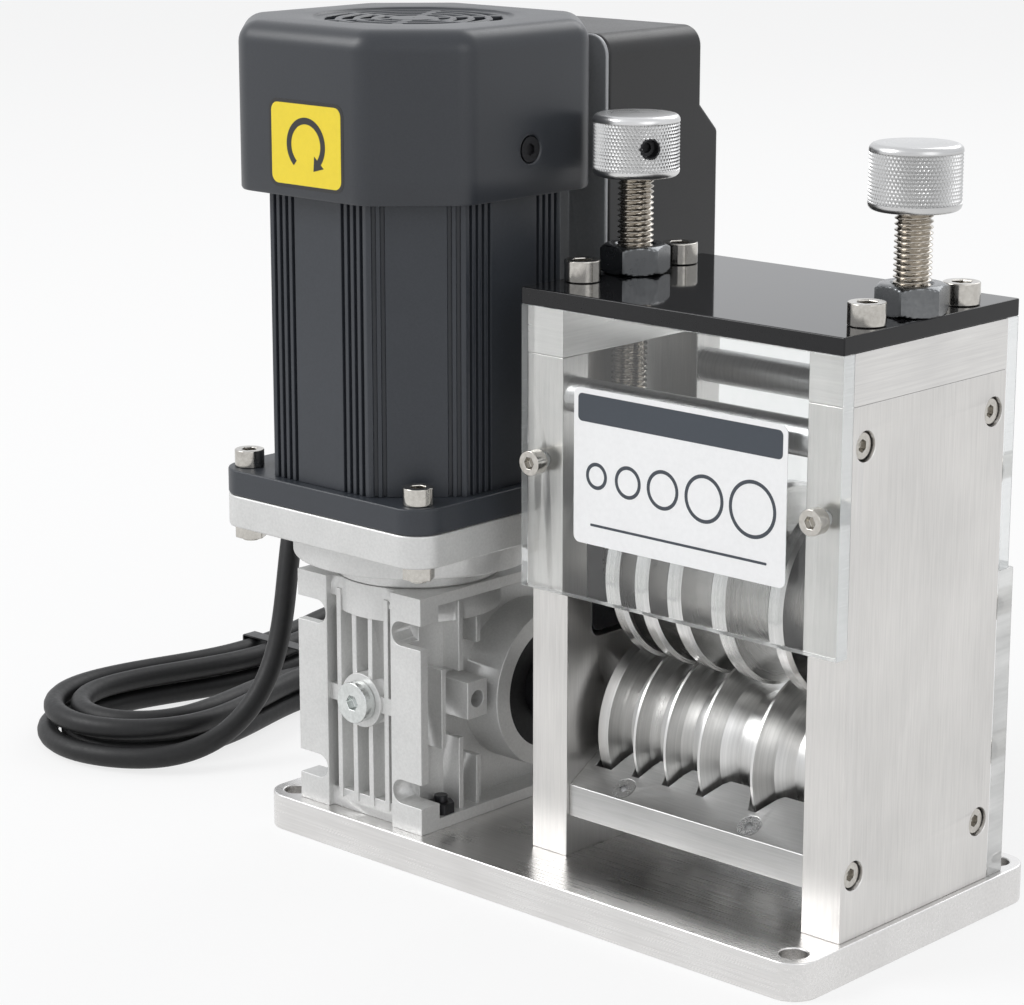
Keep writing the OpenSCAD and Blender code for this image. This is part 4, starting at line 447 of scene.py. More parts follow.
# rough is (smoothest, roughest); Stretch is small along the brushing
finishes = {
    "plateBrushed": dict(
        colour=(0.745, 0.73, 0.71), dark=(0.62, 0.61, 0.595), rough=(0.28, 0.42),
        group="lines", values={"Stretch": (1, 1, 0.04), "Scale": 1700.0}, metallic=1.0, bump=0.25),
    "capBrushed": dict(
        colour=(0.80, 0.79, 0.77), dark=(0.62, 0.61, 0.60), rough=(0.24, 0.38),
        group="lines", values={"Stretch": (0.02, 0.02, 1), "Scale": 1500.0}, metallic=1.0, bump=0.25),
    "baseBrushed": dict(
        colour=(0.82, 0.81, 0.80), dark=(0.66, 0.65, 0.64), rough=(0.22, 0.36),
        group="lines", values={"Stretch": (0.02, 1, 1), "Scale": 1400.0}, metallic=1.0, bump=0.2),
    "combMachined": dict(
        colour=(0.52, 0.52, 0.515), dark=(0.38, 0.38, 0.375), rough=(0.30, 0.45),
        group="lines", values={"Stretch": (0.03, 1, 1), "Scale": 1600.0}, metallic=1.0, bump=0.3),
    "castAlloy": dict(
        colour=(0.72, 0.72, 0.71), dark=(0.60, 0.60, 0.59), rough=(0.36, 0.52),
        group="grain", values={"Scale": 1300.0, "Cloud Scale": 60.0},
        metallic=0.55, bump=0.35, depth=0.00008),
    "rollerTurned": dict(
        colour=(0.76, 0.755, 0.745), dark=(0.56, 0.56, 0.55), rough=(0.26, 0.42),
        group="rings", values={"Scale": 1500.0}, metallic=1.0, bump=0.35, centre=rollerAxis),
    "cutterTurned": dict(
        colour=(0.76, 0.75, 0.74), dark=(0.54, 0.54, 0.53), rough=(0.18, 0.32),
        group="rings", values={"Scale": 1600.0}, metallic=1.0, bump=0.35, centre=cutterAxis),
    "tieTurned": dict(
        colour=(0.60, 0.60, 0.60), dark=(0.42, 0.42, 0.42), rough=(0.28, 0.42),
        group="lines", values={"Stretch": (1, 0.05, 0.05), "Scale": 1500.0}, metallic=1.0, bump=0.2),
    "knobLeftTurned": dict(
        colour=(0.76, 0.76, 0.755), dark=(0.60, 0.60, 0.60), rough=(0.24, 0.36),
        group="rings", values={"Scale": 1800.0},
        metallic=1.0, bump=0.3, centre=(screwX["left"], 0, knobMid), turn=(0, 90, 0)),
    # the right knob's colour is darker than the left's though both are the same turned knob: painted shade
    "knobRightTurned": dict(
        colour=(0.66, 0.66, 0.655), dark=(0.50, 0.50, 0.50), rough=(0.24, 0.36),
        group="rings", values={"Scale": 1800.0},
        metallic=1.0, bump=0.3, centre=(screwX["right"], 0, knobMid), turn=(0, 90, 0)),
    "nickelPlate": dict(
        colour=(0.60, 0.56, 0.50), dark=(0.42, 0.39, 0.35), rough=(0.14, 0.24),
        group="grain", values={"Scale": 800.0, "Cloud Scale": 120.0}, metallic=1.0, bump=0.1),
    "screwNickel": dict(
        colour=(0.62, 0.60, 0.56), dark=(0.44, 0.42, 0.39), rough=(0.12, 0.22),
        group="grain", values={"Scale": 800.0, "Cloud Scale": 120.0}, metallic=1.0, bump=0.1),
    "brightZinc": dict(
        colour=(0.74, 0.76, 0.75), dark=(0.58, 0.60, 0.59), rough=(0.16, 0.28),
        group="grain", values={"Scale": 900.0, "Cloud Scale": 140.0}, metallic=1.0, bump=0.12),
    # zinc plate with its colour dimmed below zinc's own, and far lower on the nuts: painted dark reflections
    "zincWithDarkReflection": dict(
        colour=(0.38, 0.40, 0.43), dark=(0.27, 0.29, 0.32), rough=(0.14, 0.26),
        group="grain", values={"Scale": 900.0, "Cloud Scale": 140.0}, metallic=1.0, bump=0.12),
    "nutZincDarkReflection": dict(
        colour=(0.19, 0.195, 0.20), dark=(0.13, 0.135, 0.14), rough=(0.18, 0.30),
        group="grain", values={"Scale": 900.0, "Cloud Scale": 140.0}, metallic=1.0, bump=0.12),
    "blackOxide": dict(
        colour=(0.035, 0.035, 0.038), dark=(0.018, 0.018, 0.02), rough=(0.32, 0.5),
        group="grain", values={"Scale": 1200.0, "Cloud Scale": 120.0}, metallic=0.6, bump=0.2),
    "groundSteel": dict(
        colour=(0.62, 0.62, 0.62), dark=(0.46, 0.46, 0.46), rough=(0.2, 0.34),
        group="grain", values={"Scale": 1100.0, "Cloud Scale": 90.0}, metallic=1.0),
    "topGloss": dict(
        colour=(0.012, 0.012, 0.013), dark=(0.008, 0.008, 0.009), rough=(0.03, 0.07),
        group="grain", values={"Scale": 500.0, "Cloud Scale": 40.0},
        bump=0.02, depth=0.00001, Specular_IOR_Level=0.3),
    "slatePaint": dict(
        colour=(0.034, 0.039, 0.048), dark=(0.026, 0.030, 0.037), rough=(0.34, 0.46),
        group="grain", values={"Scale": 1500.0, "Cloud Scale": 26.0}, bump=0.22, depth=0.00005),
    "coverPlastic": dict(
        colour=(0.032, 0.036, 0.043), dark=(0.025, 0.028, 0.034), rough=(0.30, 0.42),
        group="grain", values={"Scale": 2000.0, "Cloud Scale": 22.0}, bump=0.18),
    "boxPlastic": dict(
        colour=(0.012, 0.0122, 0.013), dark=(0.008, 0.0082, 0.009), rough=(0.32, 0.46),
        group="grain", values={"Scale": 1900.0, "Cloud Scale": 24.0}, bump=0.22),
    "rimGrey": dict(
        colour=(0.42, 0.43, 0.44), dark=(0.34, 0.35, 0.36), rough=(0.3, 0.45),
        group="grain", values={"Scale": 1200.0, "Cloud Scale": 60.0}, metallic=0.3),
    "sealRubber": dict(
        colour=(0.014, 0.014, 0.015), dark=(0.008, 0.008, 0.009), rough=(0.5, 0.7),
        group="grain", values={"Scale": 900.0, "Cloud Scale": 80.0}, bump=0.3),
    "cordRubber": dict(
        colour=(0.010, 0.010, 0.0105), dark=(0.006, 0.006, 0.0065), rough=(0.42, 0.58),
        group="grain", values={"Scale": 700.0, "Cloud Scale": 60.0},
        bump=0.25, depth=0.00005, Specular_IOR_Level=0.4),
    "tieNylon": dict(
        colour=(0.016, 0.016, 0.017), dark=(0.010, 0.010, 0.011), rough=(0.3, 0.45),
        group="grain", values={"Scale": 900.0, "Cloud Scale": 60.0}),
    "copperWire": dict(
        colour=(0.62, 0.30, 0.13), dark=(0.42, 0.18, 0.07), rough=(0.3, 0.45),
        group="lines", values={"Stretch": (1, 1, 0.2), "Scale": 900.0},
        metallic=0.9, bump=0.5, depth=0.0001),
    "bronzeGear": dict(
        colour=(0.64, 0.45, 0.22), dark=(0.48, 0.33, 0.15), rough=(0.26, 0.4),
        group="grain", values={"Scale": 1000.0, "Cloud Scale": 80.0}, metallic=1.0, bump=0.2),
    "laminations": dict(
        colour=(0.40, 0.40, 0.41), dark=(0.26, 0.26, 0.27), rough=(0.3, 0.45),
        group="lines", values={"Stretch": (0.02, 0.02, 1), "Scale": 2000.0},
        metallic=0.9, bump=0.5, depth=0.0001),
    # the guards' sideways faces: pale, half see-through colour, a painted sheen of a bright clear edge
    "paleEdgeSheen": dict(
        colour=(0.90, 0.92, 0.92), dark=(0.80, 0.83, 0.83), rough=(0.18, 0.32),
        group="lines", values={"Stretch": (1, 0.05, 1), "Scale": 900.0}, bump=0.1, Alpha=0.55),
    # the inlet block's sideways faces: coarse light and dark streaks, half see-through
    "inletEdge": dict(
        colour=(0.88, 0.88, 0.86), dark=(0.34, 0.34, 0.33), rough=(0.10, 0.22),
        group="lines", values={"Stretch": (1, 0.08, 1), "Scale": 170.0}, bump=0.3, depth=0.0003, Alpha=0.8),
}

# clear sheet: glass with faint handling marks in its gloss
acrylicSpec = {
    "tint": ((0.95, 0.965, 0.96), (0.985, 0.99, 0.99)), "rough": (0.0, 0.035), "index": 1.49,
    "marks": {"Scale": 260.0, "Cloud Scale": 30.0},
}


def clearAcrylic(s):
    mat, tree, bsdf = newLook("clearAcrylic")
    coord = tree.nodes.new("ShaderNodeTexCoord")
    g = placeGroup(tree, "grain", coord.outputs["Object"], s["marks"])
    tree.links.new(mapRange(tree, g.outputs["Cloud"], *s["rough"]), bsdf.inputs["Roughness"])
    tint = mixColour(tree, mapRange(tree, g.outputs["Grain"], 0.0, 1.0), *s["tint"])
    tree.links.new(tint, bsdf.inputs["Base Color"])
    bsdf.inputs["Transmission Weight"].default_value = 1.0
    bsdf.inputs["IOR"].default_value = s["index"]
    return mat


labelTones = {
    "labelWhite": (0.90, 0.90, 0.90), "labelSlate": (0.045, 0.055, 0.07),
    "labelBlack": (0.02, 0.02, 0.02), "labelYellow": (0.85, 0.66, 0.03),
}
labelPrint = dict(rough=(0.3, 0.42), group="grain", values={"Scale": 700.0, "Cloud Scale": 40.0}, bump=0.05)
labelDull = 0.93  # share of a tone left where the print is weakest

looks = {name: finish(name, **spec) for name, spec in finishes.items()}
looks["clearAcrylic"] = clearAcrylic(acrylicSpec)
for name, tone in labelTones.items():
    looks[name] = finish(name, tone, tuple(labelDull * v for v in tone), **labelPrint)
print("materials built:", len(looks))

# node to finish, with the radius of its softened edges in millimetres where it gets a copy
dressing = {
    "base_plate": ("baseBrushed", 0.5),
    "left_side_plate": ("plateBrushed", 0.3), "right_side_plate": ("plateBrushed", 0.3),
    "cap_blocks": ("capBrushed", 0.2), "top_plate": ("topGloss", 0.4), "comb_bar": ("combMachined", 0.25),
    "front_guard": ("clearAcrylic", 0.3), "rear_guard": ("clearAcrylic", 0.3),
    "inlet_block": ("clearAcrylic", 0.3),
    "top_plate_screws": ("screwNickel", 0.35), "guard_screws": ("screwNickel", 0.25),
    "flange_screws": ("screwNickel", 0.3), "comb_screws": ("groundSteel", None),
    "side_plate_screws": ("screwNickel", 0.25), "frame_screws": ("zincWithDarkReflection", None),
    "m4_screws": ("zincWithDarkReflection", 0.2), "tie_rods": ("tieTurned", None),
    "fixed_bearings": ("groundSteel", None), "upper_bearings": ("groundSteel", None),
    "gearbox_housing": ("castAlloy", 0.22), "gearbox_cover": ("castAlloy", 0.5),
    "oil_plug": ("brightZinc", 0.3), "output_seals": ("sealRubber", 0.3),
    "gearbox_studs": ("blackOxide", 0.2),
    "adapter_flange": ("castAlloy", 0.7), "motor_flange": ("slatePaint", 0.6),
    "motor_body": ("slatePaint", 0.2), "stator_core": ("laminations", None),
    "windings": ("copperWire", None), "rear_shield": ("slatePaint", None),
    "fan_cover_screws": ("blackOxide", None), "box_tray": ("rimGrey", 0.5),
    "box_cover": ("boxPlastic", 1.0), "capacitor": ("groundSteel", None),
    "switch_bezel": ("boxPlastic", 0.4),
    "strain_relief": ("sealRubber", 0.4), "cord_tie": ("tieNylon", None), "plug": ("cordRubber", 0.6),
    "lower_roller": ("rollerTurned", None), "drive_shaft": ("rollerTurned", None),
    "drive_key": ("groundSteel", None), "output_sleeve": ("blackOxide", None),
    "worm_wheel": ("bronzeGear", None), "rotor": ("laminations", None), "worm": ("groundSteel", None),
    "cooling_fan": ("boxPlastic", None), "bearing_blocks": ("blackOxide", 0.3),
    "cutter_shaft": ("cutterTurned", None), "cutter_discs": ("cutterTurned", None),
    "disc_spacers": ("cutterTurned", None), "switch_rocker": ("sealRubber", 0.4),
}


def dressNodes(table):
    for node, (look, edge) in table.items():
        if edge is None:
            slots = nodes[node].data.materials
            slots.clear()
            slots.append(looks[look])
        else:
            softCopy(node, edge, look, softSpec)


dressNodes(dressing)
flex.data.materials.append(looks["cordRubber"])
print("nodes dressed")

# adjusting screws: z is the tip's foot, the thread's foot and its top; blunt is the flat root and
# the flank, as shares of half a pitch
screwSpec = {
    "outer": 5.0, "root": 4.1, "pitch": 1.5, "tipR": 3.5, "z": (109.9, 112.5, 211.0), "shoulder": 0.01,
    "blunt": (0.12, 0.72), "sides": 40, "perTurn": 10,
}


# threaded rod: radius falls from crest to root as a rounded saw over height and angle
def makeThread(side, s):
    z0, z1, z2 = s["z"]
    cols = s["sides"]
    z = np.linspace(z1, z2, int((z2 - z1) / s["pitch"] * s["perTurn"]))
    a = np.linspace(0, 2 * np.pi, cols, endpoint=False)
    phase = z[:, None] / s["pitch"] - a[None, :] / (2 * np.pi)
    saw = np.abs(2 * (phase - np.floor(phase)) - 1)
    blunt = np.clip((saw - s["blunt"][0]) / s["blunt"][1], 0, 1)
    fade = np.clip(np.minimum(z - z1, z2 - z) / s["pitch"], 0, 1)[:, None]
    r = s["outer"] - (s["outer"] - s["root"]) * (1 - blunt * fade)
    ends = np.array([[s["tipR"], z0], [s["tipR"], z1 - s["shoulder"]], [s["root"], z1]])
    r = np.vstack([np.repeat(ends[:, :1], cols, axis=1), r])
    z = np.repeat(np.concatenate([ends[:, 1], z])[:, None], cols, axis=1)
    pts = np.stack([screwX[side] + r * np.cos(a), r * np.sin(a), z], axis=-1)
    obj = gridPiece(side + "_thread", pts, side + "_adjuster", capStart=True, capEnd=True)
    obj.data.materials.append(looks["nickelPlate"])
    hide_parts(side + "_adjusting_screw")


# knobs: hole is the set-screw hole's direction in degrees, lip and pit its section as (radius, distance
# from the knob's axis), with the lip's radii past holeR; onLip is the distance where the lip begins,
# and underIn, topIn, topMid and topR place the rows of points on its flat faces
knobSpec = {
    "z0": 198.0, "h": 17.0, "r": 12.0, "edge": 1.7, "edgeRows": 7,
    "bore": 5.03, "boreEdge": 0.4, "roof": 4.0, "underIn": 2, "topIn": 3, "topMid": 3.0, "topR": 0.01,
    "band": (2.1, 14.9), "bandRows": 90, "cells": 70, "perCell": 8, "depth": 0.55, "lean": 1.75,
    "hole": {"left": -30.0, "right": 110.0}, "holeR": 2.35, "holeGap": 0.1, "holeSides": 40, "onLip": 11,
    "lip": [(0.55, 11.62), (0.45, 11.9), (0.12, 11.92), (0, 11.8), (0, 8.2)],
    "pit": [(1.4, 8.1), (1.35, 6.4), (0.01, 6.4)],
}


# zero at whole numbers and one halfway between them
def triangleWave(q):
    return 1 - np.abs(2 * (q - np.floor(q)) - 1)


# knurled knob: a turned profile whose band carries pyramids, the lesser of two crossing triangle waves
def makeKnob(side, s):
    k, h, e, b, c = s["r"], s["h"], s["edge"], s["bore"], s["boreEdge"]
    t = np.linspace(0, np.pi / 2, s["edgeRows"])
    band = np.linspace(e, h - e, s["bandRows"])
    prof = np.vstack([
        [[b, h - s["roof"]], [b, c], [b + c, 0], [k - e - s["underIn"], 0]],
        np.stack([k - e + e * np.sin(t), e - e * np.cos(t)], axis=1)[:-1],
        np.stack([np.full(band.shape, k), band], axis=1),
        np.stack([k - e + e * np.cos(t), h - e + e * np.sin(t)], axis=1)[1:],
        [[k - e - s["topIn"], h], [s["topMid"], h], [s["topR"], h]],
    ])
    cols = s["cells"] * s["perCell"]
    a = np.linspace(0, 2 * np.pi, cols, endpoint=False)
    r, z = prof[:, :1], prof[:, 1:]
    pitch = 2 * np.pi * k / s["cells"]
    u, v = a[None, :] * s["cells"] / (2 * np.pi), z / (pitch * s["lean"])
    onSide = np.isclose(r, k)
    onBand = onSide & (z > s["band"][0]) & (z < s["band"][1])
    pyramids = np.minimum(triangleWave(u + v), triangleWave(u - v))
    rr = r - np.where(onBand, s["depth"] * (1 - pyramids), 0)
    x0 = screwX[side]
    pts = np.stack([x0 + rr * np.cos(a), rr * np.sin(a), np.repeat(s["z0"] + z, cols, axis=1)], axis=-1)
    away = (a - math.radians(s["hole"][side]) + np.pi) % (2 * np.pi) - np.pi
    drop = (np.hypot(away[None, :] * k, z - h / 2) < s["holeR"] + s["holeGap"]) & onSide
    obj = gridPiece(side + "_knob_knurled", pts, side + "_adjuster", drop=drop[:-1])
    obj.data.materials.append(looks["knob" + side.capitalize() + "Turned"])
    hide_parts(side + "_knob")
    makeKnobHole(side, s, x0)


# set-screw hole: a lip ring, a wall and a floor, turned about the hole's own axis;
# the lip bends with the knob's side, by the square of its width over twice the radius
def makeKnobHole(side, s, x0):
    prof = np.array([(s["holeR"] + past, w) for past, w in s["lip"]] + s["pit"])
    a = np.linspace(0, 2 * np.pi, s["holeSides"], endpoint=False)[None, :, None]
    d = math.radians(s["hole"][side])
    out, across = np.array([math.cos(d), math.sin(d), 0]), np.array([-math.sin(d), math.cos(d), 0])
    up = np.array([0, 0, 1.0])
    centre = np.array([x0, 0, s["z0"] + s["h"] / 2])
    r, w = prof[:, 0][:, None, None], prof[:, 1][:, None, None]
    bend = (r * np.cos(a)) ** 2 / (2 * s["r"]) * (w > s["onLip"])
    pts = centre + (w - bend) * out + r * (np.cos(a) * across + np.sin(a) * up)
    obj = gridPiece(side + "_knob_hole", pts, side + "_adjuster")
    obj.data.materials.append(looks["blackOxide"])


nutSpec = {
    "af": 17.0, "h": 8.0, "z": 171.2, "bore": 5.25, "boreEdge": 0.5, "turn": 20.0,
    "face": 8.15, "slope": 1.75, "degrees": 2.5,
    "rows": (0, 0.15, 0.35, 0.6, 0.9, 1.2, 4.0, 6.8, 7.1, 7.4, 7.65, 7.85, 8.0),
}


# hexagon nut: radius is the least of the hexagon and a cone from either face
def makeNut(side, s):
    h, e = s["h"], s["boreEdge"]
    around = np.arange(0, 360, s["degrees"])
    a = np.radians(around + s["turn"])
    hexR = s["af"] / 2 / np.cos(np.radians((around + 30) % 60 - 30))
    z = np.array(s["rows"])
    cone = s["face"] + np.minimum(z, h - z) * s["slope"]
    inner = np.full((1, len(a)), s["bore"])
    r = np.vstack([inner, inner + e, np.minimum(hexR[None, :], cone[:, None]), inner + e, inner, inner])
    z = np.repeat(s["z"] + np.concatenate([[e, 0], z, [h, h - e, e]])[:, None], len(a), axis=1)
    pts = np.stack([screwX[side] + r * np.cos(a), r * np.sin(a), z], axis=-1)
    obj = gridPiece(side + "_nut_chamfered", pts, side + "_nut")
    # the nut's colour is dimmed well below zinc's: a painted dark reflection
    obj.data.materials.append(looks["nutZincDarkReflection"])
    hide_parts(side + "_lock_nut")


for side in ("left", "right"):
    makeThread(side, screwSpec)
    makeKnob(side, knobSpec)
    makeNut(side, nutSpec)
print("knobs, threads and nuts made")

# fan cover: foot is (inset, height over the lower edge), lip and mouth are (radius past the dish or the
# opening, depth), and recessRim is (radius past the recess, depth); flats 7 and 3 face +X and -X
coverSpec = {
    "centre": (-62.4, -25.0), "z": (193.0, 239.5), "af": 88.6, "leg": 20.5, "corner": 9.0, "arcPoints": 8,
    "edge": 6.0, "edgeRows": 9, "wall": 2.0,
    "foot": [(2.0, 6), (2.0, 0.8), (1.6, 0.15), (1.0, 0), (0.4, 0.15), (0, 0.8)],
    "dish": 28.0, "dishOut": 1, "shares": (0.35, 0.7), "lip": [(0.8, 0), (0.3, 0.12), (0, 0.5)],
    "drop": 0.7, "toe": 0.5, "open": 25.0, "mouth": [(0.3, 0), (0, 0.3), (0, 2.0)],
    "screwFlats": (7, 3), "screwZ": 206.0, "patch": 6.0, "patchDegrees": 7.5,
    "recessR": 3.9, "recess": 1.3, "recessRim": [(0.6, 0), (0.25, 0.08), (0, 0.35)], "bore": 2.1,
    "rings": [(10, 12), (15, 17), (20, 22)], "ringEdge": 0.35, "ringSides": 72, "hub": 7.0, "hubIn": 0.01,
    "spoke": 3.0, "spokes": 6, "spokeEdge": 0.3, "spokeDrop": 0.05, "spokeOver": 0.5,
}


# rounded octagon: eight arcs about fixed centres, with two points on each flat; inset shrinks the arcs
def coverOutline(s, inset):
    h, leg, rc = s["af"] / 2, s["leg"], s["corner"]
    far = (2 * h - leg) / math.sqrt(2)
    arc = np.radians(np.linspace(0, 45, s["arcPoints"]))
    pts = []
    for k in range(8):
        n0, n1 = math.radians(45 * k), math.radians(45 * (k + 1))
        d0, d1 = (h, far) if k % 2 == 0 else (far, h)
        flats = [[math.cos(n0), math.sin(n0)], [math.cos(n1), math.sin(n1)]]
        vertex = np.linalg.solve(flats, [d0, d1])
        mid = (n0 + n1) / 2
        centre = vertex - rc / math.cos(math.radians(22.5)) * np.array([math.cos(mid), math.sin(mid)])
        pts.append(centre + (rc - inset) * np.stack([np.cos(n0 + arc), np.sin(n0 + arc)], axis=1))
        out, along = np.array([math.cos(n1), math.sin(n1)]), np.array([-math.sin(n1), math.cos(n1)])
        pts.append(np.stack([(d1 - inset) * out + t * along for t in (-s["patch"], s["patch"])]))
    return np.vstack(pts)


# fan cover: the rounded octagon carried up a profile, over a rounded edge and in to a round opening
def makeFanCover(s):
    z0, z1 = s["z"]
    e, top = s["edge"], z1 - s["drop"]
    rim = coverOutline(s, e)
    cols = len(rim)
    a = np.arctan2(rim[:, 1], rim[:, 0])

    def ring(r, z):
        return np.column_stack([r * np.cos(a), r * np.sin(a), np.full(cols, z)])

    t = np.linspace(0, np.pi / 2, s["edgeRows"])
    prof = [(inset, z0 + rise) for inset, rise in s["foot"]]
    screwRow = len(prof)
    prof += [(0, s["screwZ"] - s["patch"]), (0, s["screwZ"] + s["patch"])]
    prof += list(zip(e - e * np.cos(t), z1 - e + e * np.sin(t)))
    rows = [np.column_stack([coverOutline(s, inset), np.full(cols, z)]) for inset, z in prof]
    edgeOfDish = ring(s["dish"] + s["dishOut"], 0)[:, :2]
    for f in s["shares"]:
        rows.append(np.column_stack([rim * (1 - f) + f * edgeOfDish, np.full(cols, z1)]))
    rows += [ring(s["dish"] + past, z1 - down) for past, down in s["lip"]]
    rows.append(ring(s["dish"] - s["toe"], top))
    rows += [ring(s["open"] + past, top - down) for past, down in s["mouth"]]
    drop = np.zeros((len(rows) - 1, cols), dtype=bool)
    for k in s["screwFlats"]:
        drop[screwRow, k * cols // 8 + s["arcPoints"]] = True
    shell = gridPiece("fan_cover_shell", np.array(rows) + np.array([*s["centre"], 0]), "frame", drop=drop)
    shell.data.materials.append(looks["coverPlastic"])
    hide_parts("fan_cover")
    for i, (lo, hi) in enumerate(s["rings"]):
        makeVentRing("vent_ring_%d" % (i + 1), s, lo, hi, top)
    makeVentRing("vent_hub", s, s["hubIn"], s["hub"], top)
    for k in range(s["spokes"]):
        makeSpoke("vent_spoke_%d" % (k + 1), s, math.radians(360 / s["spokes"] * k), top)
    makeScrewPatch("cover_recess_right", s, 1)
    makeScrewPatch("cover_recess_left", s, -1)


# vent ring: a section with two chamfered upper edges, turned about the cover's axis
def makeVentRing(name, s, lo, hi, top):
    c, low = s["ringEdge"], top - s["wall"]
    upper = [(lo, top - c), (lo + c, top), (hi - c, top), (hi, top - c)]
    prof = np.array([(lo, low), *upper, (hi, low), (lo, low)])
    a = np.linspace(0, 2 * np.pi, s["ringSides"], endpoint=False)
    r, z = prof[:, :1], prof[:, 1:]
    pts = np.stack([s["centre"][0] + r * np.cos(a), s["centre"][1] + r * np.sin(a), z + 0 * a], axis=-1)
    obj = gridPiece(name, pts, "frame")
    obj.data.materials.append(looks["coverPlastic"])


# spoke: a chamfered section drawn straight out from the hub, a hair below the rings
def makeSpoke(name, s, turn, top):
    h, c, low, high = s["spoke"] / 2, s["spokeEdge"], -s["wall"], -s["spokeDrop"]
    prof = np.array([(-h, low), (-h, -c), (-h + c, high), (h - c, high), (h, -c), (h, low)])
    run = np.array([s["hub"] - s["spokeOver"], s["open"] + s["spokeOver"]])
    out = np.array([math.cos(turn), math.sin(turn), 0])
    across = np.array([-math.sin(turn), math.cos(turn), 0])
    up = np.array([0, 0, 1.0])
    start = np.array([*s["centre"], top])
    pts = start + run[:, None, None] * out + prof[None, :, :1] * across + prof[None, :, 1:] * up
    obj = gridPiece(name, pts, "frame", capStart=True, capEnd=True)
    obj.data.materials.append(looks["coverPlastic"])


# screw recess: rows of points pass from a square to a circle, then down a wall to the screw's bore
def makeScrewPatch(name, s, side):
    a = np.radians(np.arange(0, 360, s["patchDegrees"]) + 45)
    circle = np.stack([np.cos(a), np.sin(a)], axis=1)
    square = circle / np.abs(circle).max(axis=1, keepdims=True) * s["patch"]
    r, deep = s["recessR"], s["recess"]
    rows = [(square, 0), (0.5 * square + 0.5 * circle * (r + s["recessRim"][0][0]), 0)]
    rows += [(circle * (r + past), -down) for past, down in s["recessRim"]]
    rows += [(circle * r, -deep), (circle * s["bore"], -deep)]
    x0, y0 = s["centre"]
    pts = []
    for q, h in rows:
        x = x0 + side * np.full(len(a), s["af"] / 2 + h)
        pts.append(np.column_stack([x, y0 + q[:, 0], s["screwZ"] + q[:, 1]]))
    obj = gridPiece(name, np.array(pts), "frame")
    obj.data.materials.append(looks["coverPlastic"])


makeFanCover(coverSpec)
print("fan cover made")

# labels, in millimetres: ink is the print's thickness, rings are (x, radius), head is (length, half width)
labelSpec = {
    "panel": {"centre": (45.9, -38.14, 125.4), "size": (72.0, 42.6), "round": 2.0, "thick": 0.16},
    "header": {"centre": (45.9, -38.24, 141.4), "size": (69.0, 7.6), "round": 1.4, "thick": 0.04},
    "rule": {"centre": (45.9, -38.24, 109.6), "size": (60.0, 0.7), "round": 0.3, "thick": 0.04},
    "rings": [(18.0, 3.2), (29.0, 4.0), (41.0, 4.9), (55.0, 6.0), (71.0, 7.2)],
    "ringY": -38.24, "ringZ": 123.2, "ringWall": 1.0, "ringSpan": (0, 355),
    "sticker": {"centre": (-59.6, -69.36, 207.6), "size": (27.0, 22.0), "round": 2.4, "thick": 0.14},
    "edge": {"centre": (-59.6, -69.33, 207.6), "size": (29.0, 24.0), "round": 3.2, "thick": 0.08},
    "arrow": {"centre": (-59.6, -69.46, 207.6), "radius": 6.6, "half": 0.9, "span": (-40.0, 230.0),
              "head": (3.4, 2.4)},
    "ink": 0.04, "arcStep": 5, "cornerPoints": 7,
}


# a flat sheet facing the front: a rounded outline, raised by its thickness
def makeSheet(name, s, look):
    w, h, r = s["size"][0] / 2, s["size"][1] / 2, s["round"]
    arc = np.radians(np.linspace(0, 90, labelSpec["cornerPoints"]))
    out = []
    for cx, cz, turn in [(w - r, h - r, 0), (r - w, h - r, 90), (r - w, r - h, 180), (w - r, r - h, 270)]:
        a = arc + math.radians(turn)
        out.append(np.stack([cx + r * np.cos(a), cz + r * np.sin(a)], axis=1))
    makeFlat(name, np.vstack(out), s["centre"], s["thick"], look)


def makeFlat(name, out, centre, thick, look):
    x, y, z = centre
    depths = [np.full(len(out), y + d) for d in (thick / 2, -thick / 2)]
    rows = [np.column_stack([x + out[:, 0], depth, z + out[:, 1]]) for depth in depths]
    obj = gridPiece(name, np.array(rows), "frame", capStart=True, capEnd=True)
    obj.data.materials.append(looks[look])


# a ring or arc as a flat strip between two radii, with its front and its two edges
def makeArc(name, centre, radius, half, span, look, closed):
    a = np.radians(np.linspace(*span, int((span[1] - span[0]) / labelSpec["arcStep"])))
    x, y, z = centre
    ink = labelSpec["ink"] / 2
    section = [(radius - half, ink), (radius - half, -ink), (radius + half, -ink), (radius + half, ink)]
    pts = []
    for r, d in section:
        pts.append(np.column_stack([x + r * np.cos(a), np.full(len(a), y + d), z + r * np.sin(a)]))
    obj = gridPiece(name, np.array(pts), "frame", wrap=closed)
    obj.data.materials.append(looks[look])


def makeLabels(s):
    makeSheet("groove_chart", s["panel"], "labelWhite")
    makeSheet("chart_header", s["header"], "labelSlate")
    makeSheet("chart_rule", s["rule"], "labelSlate")
    for i, (x, r) in enumerate(s["rings"]):
        centre = (x, s["ringY"], s["ringZ"])
        makeArc("chart_ring_%d" % (i + 1), centre, r, s["ringWall"] / 2, s["ringSpan"], "labelSlate", True)
    makeSheet("turn_sticker_edge", s["edge"], "labelBlack")
    makeSheet("turn_sticker", s["sticker"], "labelYellow")
    w = s["arrow"]
    makeArc("turn_arrow", w["centre"], w["radius"], w["half"], w["span"], "labelBlack", False)
    t = math.radians(w["span"][0])
    way, side = np.array([math.sin(t), -math.cos(t)]), np.array([math.cos(t), math.sin(t)])
    tip = side * w["radius"]
    long, wide = w["head"]
    head = np.array([tip + long * way, tip + wide * side, tip - wide * side])
    makeFlat("turn_arrow_head", head, w["centre"], s["ink"], "labelBlack")


makeLabels(labelSpec)
print("labels made")

